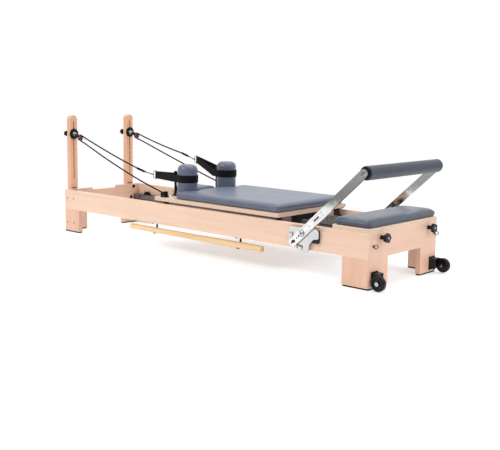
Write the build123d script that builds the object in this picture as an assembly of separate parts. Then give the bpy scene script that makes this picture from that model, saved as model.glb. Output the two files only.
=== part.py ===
from build123d import *
from math import atan2, cos, degrees, radians, sin, tan
import os

# Pilates reformer. Millimetres, +Z up, +X towards the foot end, -Y is the near side.
# All lengths below are measured from the middle of the wooden frame; ORIGIN_X then moves the
# whole machine so that the origin is on the floor under the middle of its overall length.
ORIGIN_X = -2.0

# wooden frame
FRAME_L = 2500.0
FRAME_W = 670.0
BOARD_T = 28.0
RAIL_TOP = 284.0
RAIL_BOTTOM = 155.0
CORNER_R = 14.0
FOOT_T = 8.0
LEG_X = 162.0
LEG_Y = 173.0
HEAD_DIP_W = 224.0
HEAD_DIP = 15.0
X_HEAD = -FRAME_L / 2
X_FOOT = FRAME_L / 2
Y_OUT = FRAME_W / 2
Y_IN = Y_OUT - BOARD_T
FRAME_BOLT_R = 5.0
FRAME_BOLT_X = (36.0, 105.0)
FRAME_BOLT_Z = (64.0, 231.0)

# riser posts and pulleys
POST_T = 36.0
POST_W = 58.0
POST_Y = 250.0
POST_BOTTOM = 165.0
POST_TOP = 791.0
SLOT_W = 9.0
SLOT_LOW = 355.0
SLOT_HIGH = 752.0
POST_BOLTS = ((262.0, 266.0), (238.0, 190.0))
CLIP_Z = 292.0
PLATE_Z = 664.0
PLATE_R = 35.0
SHEAVE_X = -1176.0
SHEAVE_Y = 252.0
SHEAVE_Z = 642.0
SHEAVE_R = 21.0
SHEAVE_AXLE_R = 3.0
ROPE_R = 4.0
ROPE_WRAP_R = 18.6

# rolling tracks, their stops and the carriage wheels
TRACK_Y = (262.0, Y_IN)
TRACK_Z = (170.0, 210.0)
TRACK_GROOVE_Y = (275.0, 297.0)
TRACK_GROOVE = 4.0
TRACK_BOLT_X = (-1152.0, -576.0, 0.0, 576.0, 1152.0)
TRACK_BOLT_Z = 196.0
STOP_R = 24.0
STOP_X = (-1098.0, 665.0)
WHEEL_R = 26.0
WHEEL_W = 18.0
WHEEL_Y = 286.0
WHEEL_X = (-290.0, 612.0)
WHEEL_Z = TRACK_Z[1] - TRACK_GROOVE + WHEEL_R + 0.1
WHEEL_AXLE_R = 5.0

# carriage
CAR_X = (-350.0, 648.0)
CAR_Y = 320.0
CAR_Z = (299.0, 321.0)
PAD_X = (-182.0, 642.0)
PAD_Y = 312.0
PAD_TOP = 366.0
REST_X = -203.0
REST_Y = 175.0
REST_R = 62.0
REST_Z = (333.0, 522.0)
REST_PIN_R = 8.0
PEG_X = -299.0
PEG_Y = 185.0
PEG_TOP = 475.0
CLEAT_X = (-304.0, -262.0)
CLEAT_Y = (274.0, 310.0)
HEADREST_X = (-422.0, -215.0)
HEADREST_Y = 108.0
HEADREST_TOP = 368.0
HEADREST_AXIS_X = -208.0
HEADREST_AXIS_Z = 331.0
HEADREST_PIN_R = 3.0

# springs between the carriage and the fixed bar
SPRING_Y = (-120.0, -60.0, 0.0, 60.0, 120.0)
SPRING_Z = 262.0
SPRING_R = 13.0
ANCHOR_X = (604.0, 634.0)
BAR_X = (1000.0, 1030.0)
EYE_R = 8.0
EYE_WIRE = 2.5

# foot platform
PLATFORM_X = (1015.0, 1250.0)
PLATFORM_Z = (284.0, 310.0)
PLATFORM_PAD_X = (1018.0, 1247.0)
PLATFORM_PAD_Y = 332.0
PLATFORM_PAD_TOP = 352.0
KNOB_Y = 232.0
KNOB_Z = 259.0
STUD_R = 4.0
EYEBOLT_Y = 300.0
EYEBOLT_Z = 220.0
EYEBOLT_BORE_R = 8.0

# footbar
PIVOT_X = 850.0
PIVOT_Z = 245.0
PIVOT_R = 8.0
BAR_AXIS_X = 1224.0
BAR_AXIS_Z = 587.0
ARM_W = 45.0
ARM_Y = (358.0, 370.0)
PLATE_Y = (348.0, 354.0)
SPACER_Y = (Y_OUT, 348.0)
ARM_TAIL = 80.0
FOAM_R = 36.0
BAR_TUBE_R = 19.0
CAP_T = 9.0
LOCK_FREE_R = 72.0
LOCK_SET_R = 88.0
LOCK_PIN_R = 4.5
ARM_ANGLE = degrees(atan2(BAR_AXIS_Z - PIVOT_Z, BAR_AXIS_X - PIVOT_X))
ARM_LENGTH = (BAR_AXIS_X - PIVOT_X) / cos(radians(ARM_ANGLE))
BAR_LOW = 5.0
BAR_HIGH = 86.0
NOTCH_ANGLES = (BAR_LOW, 23.0, ARM_ANGLE, 64.0, BAR_HIGH)

# transport wheels at the foot end
ROLLER_X = 1302.0
ROLLER_Z = 43.0
ROLLER_R = 40.0
ROLLER_Y = (310.0, 336.0)
ROLLER_AXLE_R = 6.0

# wooden pole and its hooks under the near rail
POLE_X = (-570.0, 535.0)
POLE_Y = -312.0
POLE_Z = 110.0
POLE_R = 18.0
HOOK_X = (-352.0, 352.0)
HOOK_W = 12.0
HOOK_T = 4.5

# hand straps; z of the loop round each shoulder rest and of its D-ring
STRAP_H = 46.0
STRAP_T = 3.0
STRAP_GAP = 1.2
NEAR_LOOP_Z = 435.0
FAR_LOOP_Z = 448.0
NEAR_RING = (-474.0, -190.0, 438.0)
FAR_RING = (-474.0, 175.0, 516.0)
RING_WIRE_R = 2.2
RING_R = 26.5
FERRULE_R = 7.0
NEAR_FERRULE = ((-580.0, -198.0, 452.0), (-640.0, -203.0, 468.0))
FAR_FERRULE = ((-574.0, 185.0, 535.0), (-634.0, 191.0, 549.0))

# centreline of each rope: cleat, lower strand, three corners round the sheave, upper strand to the ferrule
NEAR_ROPE = [
    (-306.0, -292.0, 348.5),
    (-415.0, -287.0, 375.0),
    (-520.0, -282.0, 403.0),
    (-625.0, -278.0, 434.0),
    (-730.0, -273.0, 467.5),
    (-840.0, -268.0, 504.0),
    (-950.0, -263.0, 542.0),
    (-1050.0, -258.0, 579.0),
    (-1131.0, -254.0, 608.5),
    (-1191.2, -252.0, 626.7),
    (-1196.9, -252.0, 648.2),
    (-1179.1, -252.0, 663.3),
    (-1136.0, -248.1, 645.0),
    (-1040.0, -239.4, 607.5),
    (-940.0, -230.2, 569.8),
    (-840.0, -221.1, 533.6),
    (-740.0, -212.0, 499.9),
    (-641.0, -203.0, 468.4),
]
FAR_ROPE = [
    (-306.0, 292.0, 346.0),
    (-415.0, 287.5, 376.0),
    (-525.0, 282.5, 409.8),
    (-640.0, 277.4, 446.3),
    (-755.0, 272.2, 483.7),
    (-870.0, 266.9, 521.9),
    (-985.0, 261.5, 560.6),
    (-1060.0, 257.9, 586.2),
    (-1131.0, 254.5, 610.5),
    (-1190.5, 252.0, 626.0),
    (-1197.2, 252.0, 646.6),
    (-1181.5, 252.0, 662.9),
    (-1136.0, 247.0, 651.2),
    (-1040.0, 236.2, 628.0),
    (-940.0, 225.0, 605.8),
    (-840.0, 213.8, 585.3),
    (-738.0, 202.5, 566.4),
    (-635.0, 191.0, 549.4),
]


def block(x, y, z):
    """A box from (low, high) pairs along each axis."""
    size = [abs(b - a) for a, b in (x, y, z)]
    middle = [(a + b) / 2 for a, b in (x, y, z)]
    return Pos(*middle) * Box(*size)


def rod(start, end, radius):
    """A round bar from one point to another."""
    start = Vector(*start)
    run = Vector(*end) - start
    base = Plane(origin=start, z_dir=run)
    return base * Cylinder(radius, run.length, align=(Align.CENTER, Align.CENTER, Align.MIN))


def prism_xz(face, y):
    """A face drawn in X and Z, made solid between two distances from the middle plane."""
    plane = Plane(origin=(0, -y[1], 0), x_dir=(1, 0, 0), z_dir=(0, -1, 0))
    return extrude(plane * face, amount=-(y[1] - y[0]))


def far_side(near_shape):
    """The far side's twin of a near side piece."""
    return mirror(near_shape, about=Plane.XZ)


def both_sides(near_shape):
    return Part() + [near_shape, far_side(near_shape)]


def upright_edges(shape, select):
    """The vertical edges of a shape whose middle passes a test."""
    return [e for e in shape.edges().filter_by(Axis.Z) if select(e.center())]


# ---- wooden frame ----

def mitred_board(corners):
    """One board of the frame's ring, between mitres, with the ring's rounded outer corners."""
    z = (RAIL_BOTTOM, RAIL_TOP)
    ring = block((X_HEAD, X_FOOT), (-Y_OUT, Y_OUT), z)
    ring = fillet(ring.edges().filter_by(Axis.Z), CORNER_R)
    ring -= block((X_HEAD + BOARD_T, X_FOOT - BOARD_T), (-Y_IN, Y_IN), z)
    outline = Plane.XY.offset(z[0]) * make_face(Polyline(*corners, close=True))
    return ring & extrude(outline, amount=z[1] - z[0])


def end_board(end):
    """The head board (end -1) or the foot board (end 1)."""
    outer = end * FRAME_L / 2
    inner = outer - end * BOARD_T
    return mitred_board([(outer, -Y_OUT), (inner, -Y_IN), (inner, Y_IN), (outer, Y_OUT)])


def side_rail():
    inner = (X_HEAD + BOARD_T, X_FOOT - BOARD_T)
    rail = mitred_board([(X_HEAD, -Y_OUT), (X_FOOT, -Y_OUT), (inner[1], -Y_IN), (inner[0], -Y_IN)])
    for x in FRAME_BOLT_X:
        at = X_HEAD + x
        z = FRAME_BOLT_Z[1]
        rail -= rod((at, -Y_OUT - 1, z), (at, -Y_IN + 1, z), FRAME_BOLT_R + 0.05)
    for x in TRACK_BOLT_X:
        rail -= rod((x, -Y_IN - 15, TRACK_BOLT_Z), (x, -Y_IN + 1, TRACK_BOLT_Z), 4.1)
    return rail - rod((PIVOT_X, -Y_OUT - 1, PIVOT_Z), (PIVOT_X, -Y_IN + 1, PIVOT_Z), PIVOT_R + 0.05)


def head_panel():
    panel = end_board(-1)
    dip = (-HEAD_DIP_W / 2, HEAD_DIP_W / 2)
    panel -= block((X_HEAD - 1, X_HEAD + BOARD_T + 1), dip, (RAIL_TOP - HEAD_DIP, RAIL_TOP + 1))
    for y, z in POST_BOLTS:
        hole = rod((X_HEAD - 1, -y, z), (X_HEAD + BOARD_T + 1, -y, z), 5.1)
        panel -= both_sides(hole)
    return panel


def foot_panel():
    panel = end_board(1)
    stud_hole = rod((X_FOOT - BOARD_T - 1, -KNOB_Y, KNOB_Z), (X_FOOT + 1, -KNOB_Y, KNOB_Z), STUD_R + 0.3)
    eye_hole = rod((X_FOOT - BOARD_T - 1, -EYEBOLT_Y, EYEBOLT_Z), (X_FOOT + 1, -EYEBOLT_Y, EYEBOLT_Z), 4.05)
    return panel - both_sides(stud_hole) - both_sides(eye_hole)


def leg(end, bolted):
    """The near leg at one end: an L of two boards. end is -1 at the head, 1 at the foot."""
    outer = end * FRAME_L / 2
    z = (FOOT_T, RAIL_BOTTOM)
    along = block(sorted((outer, outer - end * LEG_X)), (-Y_OUT, -Y_IN), z)
    across = block(sorted((outer, outer - end * BOARD_T)), (-Y_IN, -Y_OUT + LEG_Y), z)
    corner = along + across
    corner = fillet(upright_edges(corner, lambda c: c.Y < -Y_OUT + 1 and abs(c.X - outer) < 1), CORNER_R)
    if bolted:
        for x in FRAME_BOLT_X:
            at = X_HEAD + x
            z_bolt = FRAME_BOLT_Z[0]
            corner -= rod((at, -Y_OUT - 1, z_bolt), (at, -Y_IN + 1, z_bolt), FRAME_BOLT_R + 0.05)
    return corner


def legs():
    near = [leg(-1, True), leg(1, False)]
    return Part() + near + [far_side(one) for one in near]


def rubber_foot(end):
    """The pad under one near leg, a little inside the leg's outline."""
    inset = 1.5
    outer = end * (FRAME_L / 2 - inset)
    z = (0, FOOT_T)
    along = block(sorted((outer, outer - end * (LEG_X - 2 * inset))), (-Y_OUT + inset, -Y_IN - inset), z)
    depth = (-Y_IN - inset, -Y_OUT + LEG_Y - inset)
    across = block(sorted((outer, outer - end * (BOARD_T - 2 * inset))), depth, z)
    pad = along + across
    return fillet(upright_edges(pad, lambda c: c.Y < -Y_OUT + 3 or c.Y > -Y_OUT + LEG_Y - 3), 9)


def rubber_feet():
    near = [rubber_foot(-1), rubber_foot(1)]
    return Part() + near + [far_side(one) for one in near]


def corner_blocks():
    """Glue blocks that tie each leg to the rails, tucked in the corner under the track."""
    size = 55.0
    z = (70.0, TRACK_Z[0] - 2)
    head = block((X_HEAD + BOARD_T, X_HEAD + BOARD_T + size), (-Y_IN, -Y_IN + size), z)
    foot = block((X_FOOT - BOARD_T - size, X_FOOT - BOARD_T), (-Y_IN, -Y_IN + size), z)
    return Part() + [head, foot, far_side(head), far_side(foot)]


def frame_bolts():
    """Barrel bolts at the head end that stand just proud of the board on both faces."""
    near = [
        rod((X_HEAD + x, -Y_OUT - 1, z), (X_HEAD + x, -Y_IN + 1, z), FRAME_BOLT_R)
        for x in FRAME_BOLT_X
        for z in FRAME_BOLT_Z
    ]
    return Part() + near + [far_side(one) for one in near]


# ---- riser posts and pulleys ----

def riser_post():
    half = POST_W / 2
    x = (X_HEAD - POST_T, X_HEAD)
    post = block(x, (-POST_Y - half, -POST_Y + half), (POST_BOTTOM, POST_TOP - half))
    post += rod((x[0], -POST_Y, POST_TOP - half), (x[1], -POST_Y, POST_TOP - half), half)
    through = (x[0] - 1, x[1] + 1)
    low = SLOT_LOW + SLOT_W / 2
    high = SLOT_HIGH - SLOT_W / 2
    post -= block(through, (-POST_Y - SLOT_W / 2, -POST_Y + SLOT_W / 2), (low, high))
    for z in (low, high):
        post -= rod((through[0], -POST_Y, z), (through[1], -POST_Y, z), SLOT_W / 2)
    for y, z in POST_BOLTS:
        post -= rod((through[0], -y, z), (through[1], -y, z), 5.1)
    return post - clip_shape(0.05)


def clip_shape(grow):
    """The steel locking tab let into each post's front face, grown by a clearance."""
    y = (-POST_Y - 20 - grow, -POST_Y + 20 + grow)
    return block((X_HEAD - 6 - grow, X_HEAD + 3), y, (CLIP_Z - 2 - grow, CLIP_Z + 2 + grow))


def riser_hardware():
    """Through bolts with cap nuts on the inner face, and the locking tabs."""
    pieces = []
    for y, z in POST_BOLTS:
        back = X_HEAD - POST_T
        front = X_HEAD + BOARD_T
        bolt = rod((back, -y, z), (front, -y, z), 5)
        bolt += rod((back - 5, -y, z), (back, -y, z), 10)
        bolt += rod((front, -y, z), (front + 5, -y, z), 11)
        pieces.append(bolt + rod((front + 5, -y, z), (front + 9, -y, z), 7))
    pieces.append(clip_shape(0))
    return Part() + pieces + [far_side(one) for one in pieces]


def pulley_carrier():
    """Clamp plate, its bolt through the post's slot, the swivel eye and the pulley's cheeks."""
    carrier = rod((X_HEAD, -POST_Y, PLATE_Z), (X_HEAD + 6, -POST_Y, PLATE_Z), PLATE_R)
    carrier += rod((X_HEAD - POST_T - 16, -POST_Y, PLATE_Z), (X_HEAD, -POST_Y, PLATE_Z), STUD_R)
    carrier += rod((X_HEAD + 6, -POST_Y, PLATE_Z), (X_HEAD + 14, -POST_Y, PLATE_Z), 14)
    screws = [(24 * cos(radians(a)), 24 * sin(radians(a))) for a in (45, 135, 225, 315)]
    for y, z in screws:
        carrier += rod((X_HEAD + 5, -POST_Y + y, PLATE_Z + z), (X_HEAD + 8, -POST_Y + y, PLATE_Z + z), 4)
    eye = (X_HEAD + 30, -SHEAVE_Y + 1, PLATE_Z - 3)
    carrier += rod((X_HEAD + 12, -POST_Y, PLATE_Z), eye, 5)
    carrier += Pos(*eye) * Sphere(7.5)
    axle = Vector(SHEAVE_X, -SHEAVE_Y, SHEAVE_Z)
    arm = axle - Vector(eye[0], -SHEAVE_Y, eye[2])
    reach = arm.length
    neck = Plane(origin=(eye[0], -SHEAVE_Y, eye[2]), x_dir=arm, z_dir=(0, -1, 0))
    carrier += neck * Pos(11, 0, 0) * Box(18, 16, 20)
    for side in (-9, 9):
        cheek = Box(reach, 13, 2) + Pos(reach / 2, 0, 0) * Cylinder(14, 2)
        carrier += neck * Pos(reach / 2, 0, side) * cheek
    return carrier + neck * Pos(reach, 0, 0) * Cylinder(SHEAVE_AXLE_R, 22)


def sheave():
    """Grooved wheel for the rope, running on the axle between the cheeks."""
    profile = [(SHEAVE_AXLE_R + 0.05, -7), (SHEAVE_R, -7), (SHEAVE_R, -6.4), (14.2, -4.4)]
    profile += [(r, -y) for r, y in reversed(profile)]
    ring = revolve(Plane.XY * make_face(Polyline(*profile, close=True)), Axis.Y)
    return Pos(SHEAVE_X, -SHEAVE_Y, SHEAVE_Z) * ring


def star_knob(lobes, lobe_r, star_r, thick, length, bore):
    """A star grip on a hub, along +X from its seat, with a round hole in the seat."""
    star = Cylinder(star_r - lobe_r / 2, thick)
    for i in range(lobes):
        angle = radians(360 * i / lobes)
        reach = star_r - lobe_r
        star += Pos(reach * cos(angle), reach * sin(angle), 0) * Cylinder(lobe_r, thick)
    grip = Pos(0, 0, length - thick / 2) * star
    grip += Pos(0, 0, length / 2) * Cylinder(star_r * 0.45, length)
    grip -= Pos(0, 0, length * 0.3) * Cylinder(bore, length * 0.6)
    return Plane.YZ * grip


def post_knob():
    knob = star_knob(5, 7, 20, 13, 50, STUD_R + 0.2)
    return Pos(X_HEAD - POST_T - 2, -POST_Y, PLATE_Z) * Rot(0, 180, 0) * knob


# ---- tracks ----

def track():
    """Aluminium rail fixed to the inside of the side rail, with a shallow groove for the wheels."""
    x = (X_HEAD + BOARD_T, X_FOOT - BOARD_T)
    rail = block(x, (-TRACK_Y[1], -TRACK_Y[0]), TRACK_Z)
    groove = (-TRACK_GROOVE_Y[1], -TRACK_GROOVE_Y[0])
    rail -= block((x[0] - 1, x[1] + 1), groove, (TRACK_Z[1] - TRACK_GROOVE, TRACK_Z[1] + 1))
    rail -= block((x[0] - 1, x[1] + 1), (-TRACK_Y[0] - 5, -TRACK_Y[0] + 1), (175, 183))
    for at in TRACK_BOLT_X:
        rail -= rod((at, -Y_IN - 1, TRACK_BOLT_Z), (at, -TRACK_Y[0] + 1, TRACK_BOLT_Z), 4.1)
    return rail


def track_bolts():
    near = []
    for x in TRACK_BOLT_X:
        bolt = rod((x, -Y_IN - 15, TRACK_BOLT_Z), (x, -TRACK_Y[0], TRACK_BOLT_Z), 4)
        near.append(bolt + rod((x, -TRACK_Y[0], TRACK_BOLT_Z), (x, -TRACK_Y[0] + 4, TRACK_BOLT_Z), 7))
    return Part() + near + [far_side(one) for one in near]


def track_stops():
    """Half-round rubber bumpers on top of the tracks, at the head end and behind the rest place."""
    near = []
    for x in STOP_X:
        y = (-TRACK_GROOVE_Y[1] + 0.5, -TRACK_GROOVE_Y[0] - 0.5)
        bumper = rod((x, y[0], TRACK_Z[1]), (x, y[1], TRACK_Z[1]), STOP_R)
        cut = block((x - 30, x + 30), (-300, -270), (TRACK_Z[1] - 40, TRACK_Z[1] - TRACK_GROOVE))
        near.append(bumper - cut)
    return Part() + near + [far_side(one) for one in near]


# ---- springs ----

def eye_ring(x, y, z, reach):
    """A small wire eye standing out along X by reach from x, with its hole along Y."""
    out = 1 if reach > 0 else -1
    ring = Pos(x + reach, y, z) * Rot(90, 0, 0) * Torus(EYE_R, EYE_WIRE)
    return ring + rod((x, y, z), (x + reach - out * (EYE_R - 1), y, z), EYE_WIRE)


def spring_anchor():
    """Cross bar under the carriage with one eye for each spring."""
    bar = block(ANCHOR_X, (-150, 150), (SPRING_Z - 14, CAR_Z[0]))
    for y in SPRING_Y:
        bar += eye_ring(ANCHOR_X[1], y, SPRING_Z, 14)
    return bar


def spring_bar():
    """Fixed steel bar between the side rails with one eye for each spring."""
    bar = block(BAR_X, (-Y_IN, Y_IN), (SPRING_Z - 18, SPRING_Z + 18))
    for y in SPRING_Y:
        bar += eye_ring(BAR_X[0], y, SPRING_Z, -14)
    return bar


def springs():
    """Closed coils, each as a plain body with a flat ring at both ends linked through an eye."""
    start = ANCHOR_X[1] + 24
    end = BAR_X[0] - 24
    coils = []
    for y in SPRING_Y:
        body = rod((start + 7, y, SPRING_Z), (end - 7, y, SPRING_Z), SPRING_R)
        body += Pos(start, y, SPRING_Z) * Torus(8, 2)
        coils.append(body + Pos(end, y, SPRING_Z) * Torus(8, 2))
    return Part() + coils


# ---- foot platform ----

def platform_board():
    board = block(PLATFORM_X, (-Y_OUT, Y_OUT), PLATFORM_Z)
    board = fillet(board.edges().filter_by(Axis.Z), CORNER_R)
    return fillet(board.edges().group_by(Axis.Z)[-1], 5)


def platform_pad():
    pad = block(PLATFORM_PAD_X, (-PLATFORM_PAD_Y, PLATFORM_PAD_Y), (PLATFORM_Z[1], PLATFORM_PAD_TOP))
    pad = fillet(pad.edges().filter_by(Axis.Z), 24)
    return fillet(pad.edges().group_by(Axis.Z)[-1], 16)


def platform_cleats():
    """Blocks under the board with open slots that drop over the knob studs."""
    x = (X_FOOT - BOARD_T - 36, X_FOOT - BOARD_T)
    cleat = block(x, (-KNOB_Y - 20, -KNOB_Y + 20), (KNOB_Z - 17, PLATFORM_Z[0]))
    half = STUD_R + 0.5
    slot = block((x[0] - 1, x[1] + 1), (-KNOB_Y - half, -KNOB_Y + half), (KNOB_Z - 18, KNOB_Z))
    slot += rod((x[0] - 1, -KNOB_Y, KNOB_Z), (x[1] + 1, -KNOB_Y, KNOB_Z), half)
    return both_sides(cleat - slot)


def foot_knob():
    """Star knob outside the foot panel with its stud through the panel."""
    stud = rod((X_FOOT - BOARD_T - 30, -KNOB_Y, KNOB_Z), (X_FOOT + 22, -KNOB_Y, KNOB_Z), STUD_R)
    grip = star_knob(5, 9, 25, 18, 44, STUD_R - 0.5)
    return Pos(X_FOOT + 1, -KNOB_Y, KNOB_Z) * grip + stud


def eye_bolts():
    """Ring bolts in the foot panel with a straight bore along Y."""
    outer = EYEBOLT_BORE_R + 4.5
    centre = X_FOOT + 4 + outer
    ring = rod((centre, -EYEBOLT_Y - 2.5, EYEBOLT_Z), (centre, -EYEBOLT_Y + 2.5, EYEBOLT_Z), outer)
    bolt = ring + rod((X_FOOT - BOARD_T, -EYEBOLT_Y, EYEBOLT_Z), (X_FOOT + 6, -EYEBOLT_Y, EYEBOLT_Z), 4)
    bolt += rod((X_FOOT, -EYEBOLT_Y, EYEBOLT_Z), (X_FOOT + 2, -EYEBOLT_Y, EYEBOLT_Z), 6.9)
    bolt -= rod((centre, -EYEBOLT_Y - 4, EYEBOLT_Z), (centre, -EYEBOLT_Y + 4, EYEBOLT_Z), EYEBOLT_BORE_R)
    return both_sides(bolt)


# ---- carriage ----

def carriage_board():
    board = block(CAR_X, (-CAR_Y, CAR_Y), CAR_Z)
    board = fillet(board.edges().filter_by(Axis.Z), 12)
    socket = rod((REST_X, -REST_Y, CAR_Z[0] - 1), (REST_X, -REST_Y, CAR_Z[1] + 1), REST_PIN_R + 0.2)
    return board - both_sides(socket)


def carriage_pad():
    """Upholstered bed with a round bay for each shoulder rest."""
    pad = block(PAD_X, (-PAD_Y, PAD_Y), (CAR_Z[1], PAD_TOP))
    pad = fillet(pad.edges().filter_by(Axis.Z), 26)
    bay = rod((REST_X, -REST_Y, CAR_Z[1] - 1), (REST_X, -REST_Y, PAD_TOP + 1), REST_R + 3)
    pad -= both_sides(bay)
    return fillet(pad.edges().group_by(Axis.Z)[-1], 8)


def wheel_hangers():
    """Brackets under the carriage, each with a fixed axle for one wheel."""
    near = []
    for x in WHEEL_X:
        top = CAR_Z[0]
        hanger = block((x - 32, x + 32), (-302, -262), (top - 5, top))
        hanger += block((x - 20, x + 20), (-273, -268), (WHEEL_Z - 17, top))
        hanger += rod((x, -298, WHEEL_Z), (x, -268, WHEEL_Z), WHEEL_AXLE_R)
        near.append(hanger + rod((x, -300.5, WHEEL_Z), (x, -297, WHEEL_Z), 8))
    return Part() + near + [far_side(one) for one in near]


def carriage_wheel(x):
    half = WHEEL_W / 2
    wheel = rod((x, -WHEEL_Y - half, WHEEL_Z), (x, -WHEEL_Y + half, WHEEL_Z), WHEEL_R)
    wheel = fillet(wheel.edges().filter_by(GeomType.CIRCLE), 2)
    return wheel - rod((x, -300, WHEEL_Z), (x, -270, WHEEL_Z), WHEEL_AXLE_R + 0.05)


def rope_pegs():
    """Upright pegs that keep the hand straps off the headrest."""
    z = CAR_Z[1]
    base = block((PEG_X - 22, PEG_X + 22), (-PEG_Y - 17, -PEG_Y + 17), (z, z + 5))
    base = fillet(base.edges().filter_by(Axis.Z), 6)
    peg = base + rod((PEG_X, -PEG_Y, z + 4), (PEG_X, -PEG_Y, PEG_TOP - 8), 8)
    peg += Pos(PEG_X, -PEG_Y, z + 5) * Cone(15, 8, 20, align=(Align.CENTER, Align.CENTER, Align.MIN))
    cap = rod((PEG_X, -PEG_Y, PEG_TOP - 16), (PEG_X, -PEG_Y, PEG_TOP), 11)
    return both_sides(peg + fillet(cap.edges().filter_by(GeomType.CIRCLE), 5))


def rope_cleats():
    """Cam cleats: a base with two toothed cams and a fairlead hole facing the pulley."""
    z = CAR_Z[1]
    base = block(CLEAT_X, (-CLEAT_Y[1], -CLEAT_Y[0]), (z, z + 12))
    base = fillet(base.edges().filter_by(Axis.Z), 4)
    mid = (CLEAT_Y[0] + CLEAT_Y[1]) / 2
    for side in (-1, 1):
        y = -mid + side * 10.5
        base += rod((CLEAT_X[1] - 14, y, z + 11), (CLEAT_X[1] - 14, y, z + 34), 8)
        base += rod((CLEAT_X[1] - 14, y, z + 34), (CLEAT_X[1] - 14, y, z + 36), 4.5)
    base += block((CLEAT_X[0], CLEAT_X[0] + 12), (-CLEAT_Y[1] + 3, -CLEAT_Y[0] - 3), (z + 11, z + 33))
    return both_sides(base)


def shoulder_pad():
    """Round upholstered block with a domed top."""
    pad = rod((REST_X, -REST_Y, REST_Z[0]), (REST_X, -REST_Y, REST_Z[1]), REST_R)
    rims = pad.edges().filter_by(GeomType.CIRCLE).sort_by(Axis.Z)
    pad = fillet(rims[-1], 30)
    low = pad.edges().filter_by(GeomType.CIRCLE).sort_by(Axis.Z)[0]
    return fillet(low, 5)


def shoulder_base():
    """Black foot under the shoulder pad with the pin that sits in the carriage board."""
    base = rod((REST_X, -REST_Y, CAR_Z[1]), (REST_X, -REST_Y, REST_Z[0]), REST_R - 7)
    return base + rod((REST_X, -REST_Y, CAR_Z[0] + 3), (REST_X, -REST_Y, CAR_Z[1]), REST_PIN_R)


def headrest_hinge():
    """Two lugs on the carriage board joined by the hinge rod."""
    x = HEADREST_AXIS_X
    lug = block((x - 6, x + 6), (-111.5, -107.5), (CAR_Z[1], HEADREST_AXIS_Z + 6))
    pin = rod((x, -111.5, HEADREST_AXIS_Z), (x, 111.5, HEADREST_AXIS_Z), HEADREST_PIN_R)
    return lug + far_side(lug) + pin


def headrest_board():
    half = 7.0
    y = (-HEADREST_Y + 2, HEADREST_Y - 2)
    x = (HEADREST_X[0] + 6, HEADREST_AXIS_X)
    board = block(x, y, (HEADREST_AXIS_Z - half, HEADREST_AXIS_Z + half))
    board += rod((x[1], y[0], HEADREST_AXIS_Z), (x[1], y[1], HEADREST_AXIS_Z), half)
    return board - rod((x[1], -120, HEADREST_AXIS_Z), (x[1], 120, HEADREST_AXIS_Z), HEADREST_PIN_R + 0.05)


def headrest_pad():
    pad = block(HEADREST_X, (-HEADREST_Y, HEADREST_Y), (HEADREST_AXIS_Z + 7, HEADREST_TOP))
    pad = fillet(pad.edges().filter_by(Axis.Z), 22)
    return fillet(pad.edges().group_by(Axis.Z)[-1], 9)


# ---- hand straps and ropes ----

def strap(ring, loop_z):
    """Webbing loop round a shoulder rest that narrows to the straight bar of its D-ring."""
    rest_y = REST_Y if ring[1] > 0 else -REST_Y
    inner_r = REST_R + STRAP_GAP

    def outline(grow):
        at_rest = Pos(REST_X, rest_y) * Circle(inner_r + grow)
        at_ring = Pos(ring[0], ring[1]) * Circle(RING_WIRE_R + 0.4 + grow)
        return make_hull(at_rest.edges() + at_ring.edges())

    band = outline(STRAP_T) - outline(0)
    tall = extrude(Pos(0, 0, loop_z - 80) * band, amount=240)
    half = STRAP_H / 2
    bend = REST_X - REST_R - 10
    side = Polyline(
        (ring[0] - 10, ring[2] - half),
        (ring[0] + 6, ring[2] - half),
        (bend, loop_z - half),
        (REST_X + 80, loop_z - half),
        (REST_X + 80, loop_z + half),
        (bend, loop_z + half),
        (ring[0] + 6, ring[2] + half),
        (ring[0] - 10, ring[2] + half),
        close=True,
    )
    plane = Plane(origin=(0, rest_y - 120, 0), x_dir=(1, 0, 0), z_dir=(0, -1, 0))
    return tall & extrude(plane * make_face(side), amount=-240)


def straps():
    return Part() + [strap(NEAR_RING, NEAR_LOOP_Z), strap(FAR_RING, FAR_LOOP_Z)]


def ring_and_hook(ring, ferrule):
    """D-ring, and the swivel hook from its bow to the ferrule's mouth."""
    centre = Vector(*ring)
    end = Vector(*ferrule[0])
    run = end - centre
    flat = Vector(run.X, run.Y, 0).normalized()
    plane = Plane(origin=centre, x_dir=flat, z_dir=flat.cross(Vector(0, 0, 1)))
    bow_path = plane * CenterArc((0, 0), RING_R, -90, 180)
    start = bow_path @ 0
    bow = sweep(Plane(origin=start, z_dir=bow_path % 0) * Circle(RING_WIRE_R - 0.3), path=bow_path)
    tip = Vector(0, 0, RING_R + RING_WIRE_R)
    bar = rod(centre - tip, centre + tip, RING_WIRE_R)
    direction = (end - (centre + flat * RING_R)).normalized()
    bow_centre = centre + flat * RING_R
    side = direction.cross(Vector(0, 0, 1)).normalized()
    loop_plane = Plane(origin=bow_centre + direction * 5, x_dir=direction, z_dir=side.cross(direction))
    loop = loop_plane * Torus(9, 2)
    stem = rod(bow_centre + direction * 13, end - direction * 0.6, 3)
    collar = rod(end - direction * 16, end - direction * 6, 5.5)
    return [bow + bar, loop + stem + collar]


def rope_hooks():
    return Part() + ring_and_hook(NEAR_RING, NEAR_FERRULE) + ring_and_hook(FAR_RING, FAR_FERRULE)


def ferrules():
    """Sleeves crimped on the ropes' ends."""
    return Part() + [rod(*NEAR_FERRULE, FERRULE_R), rod(*FAR_FERRULE, FERRULE_R)]


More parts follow.
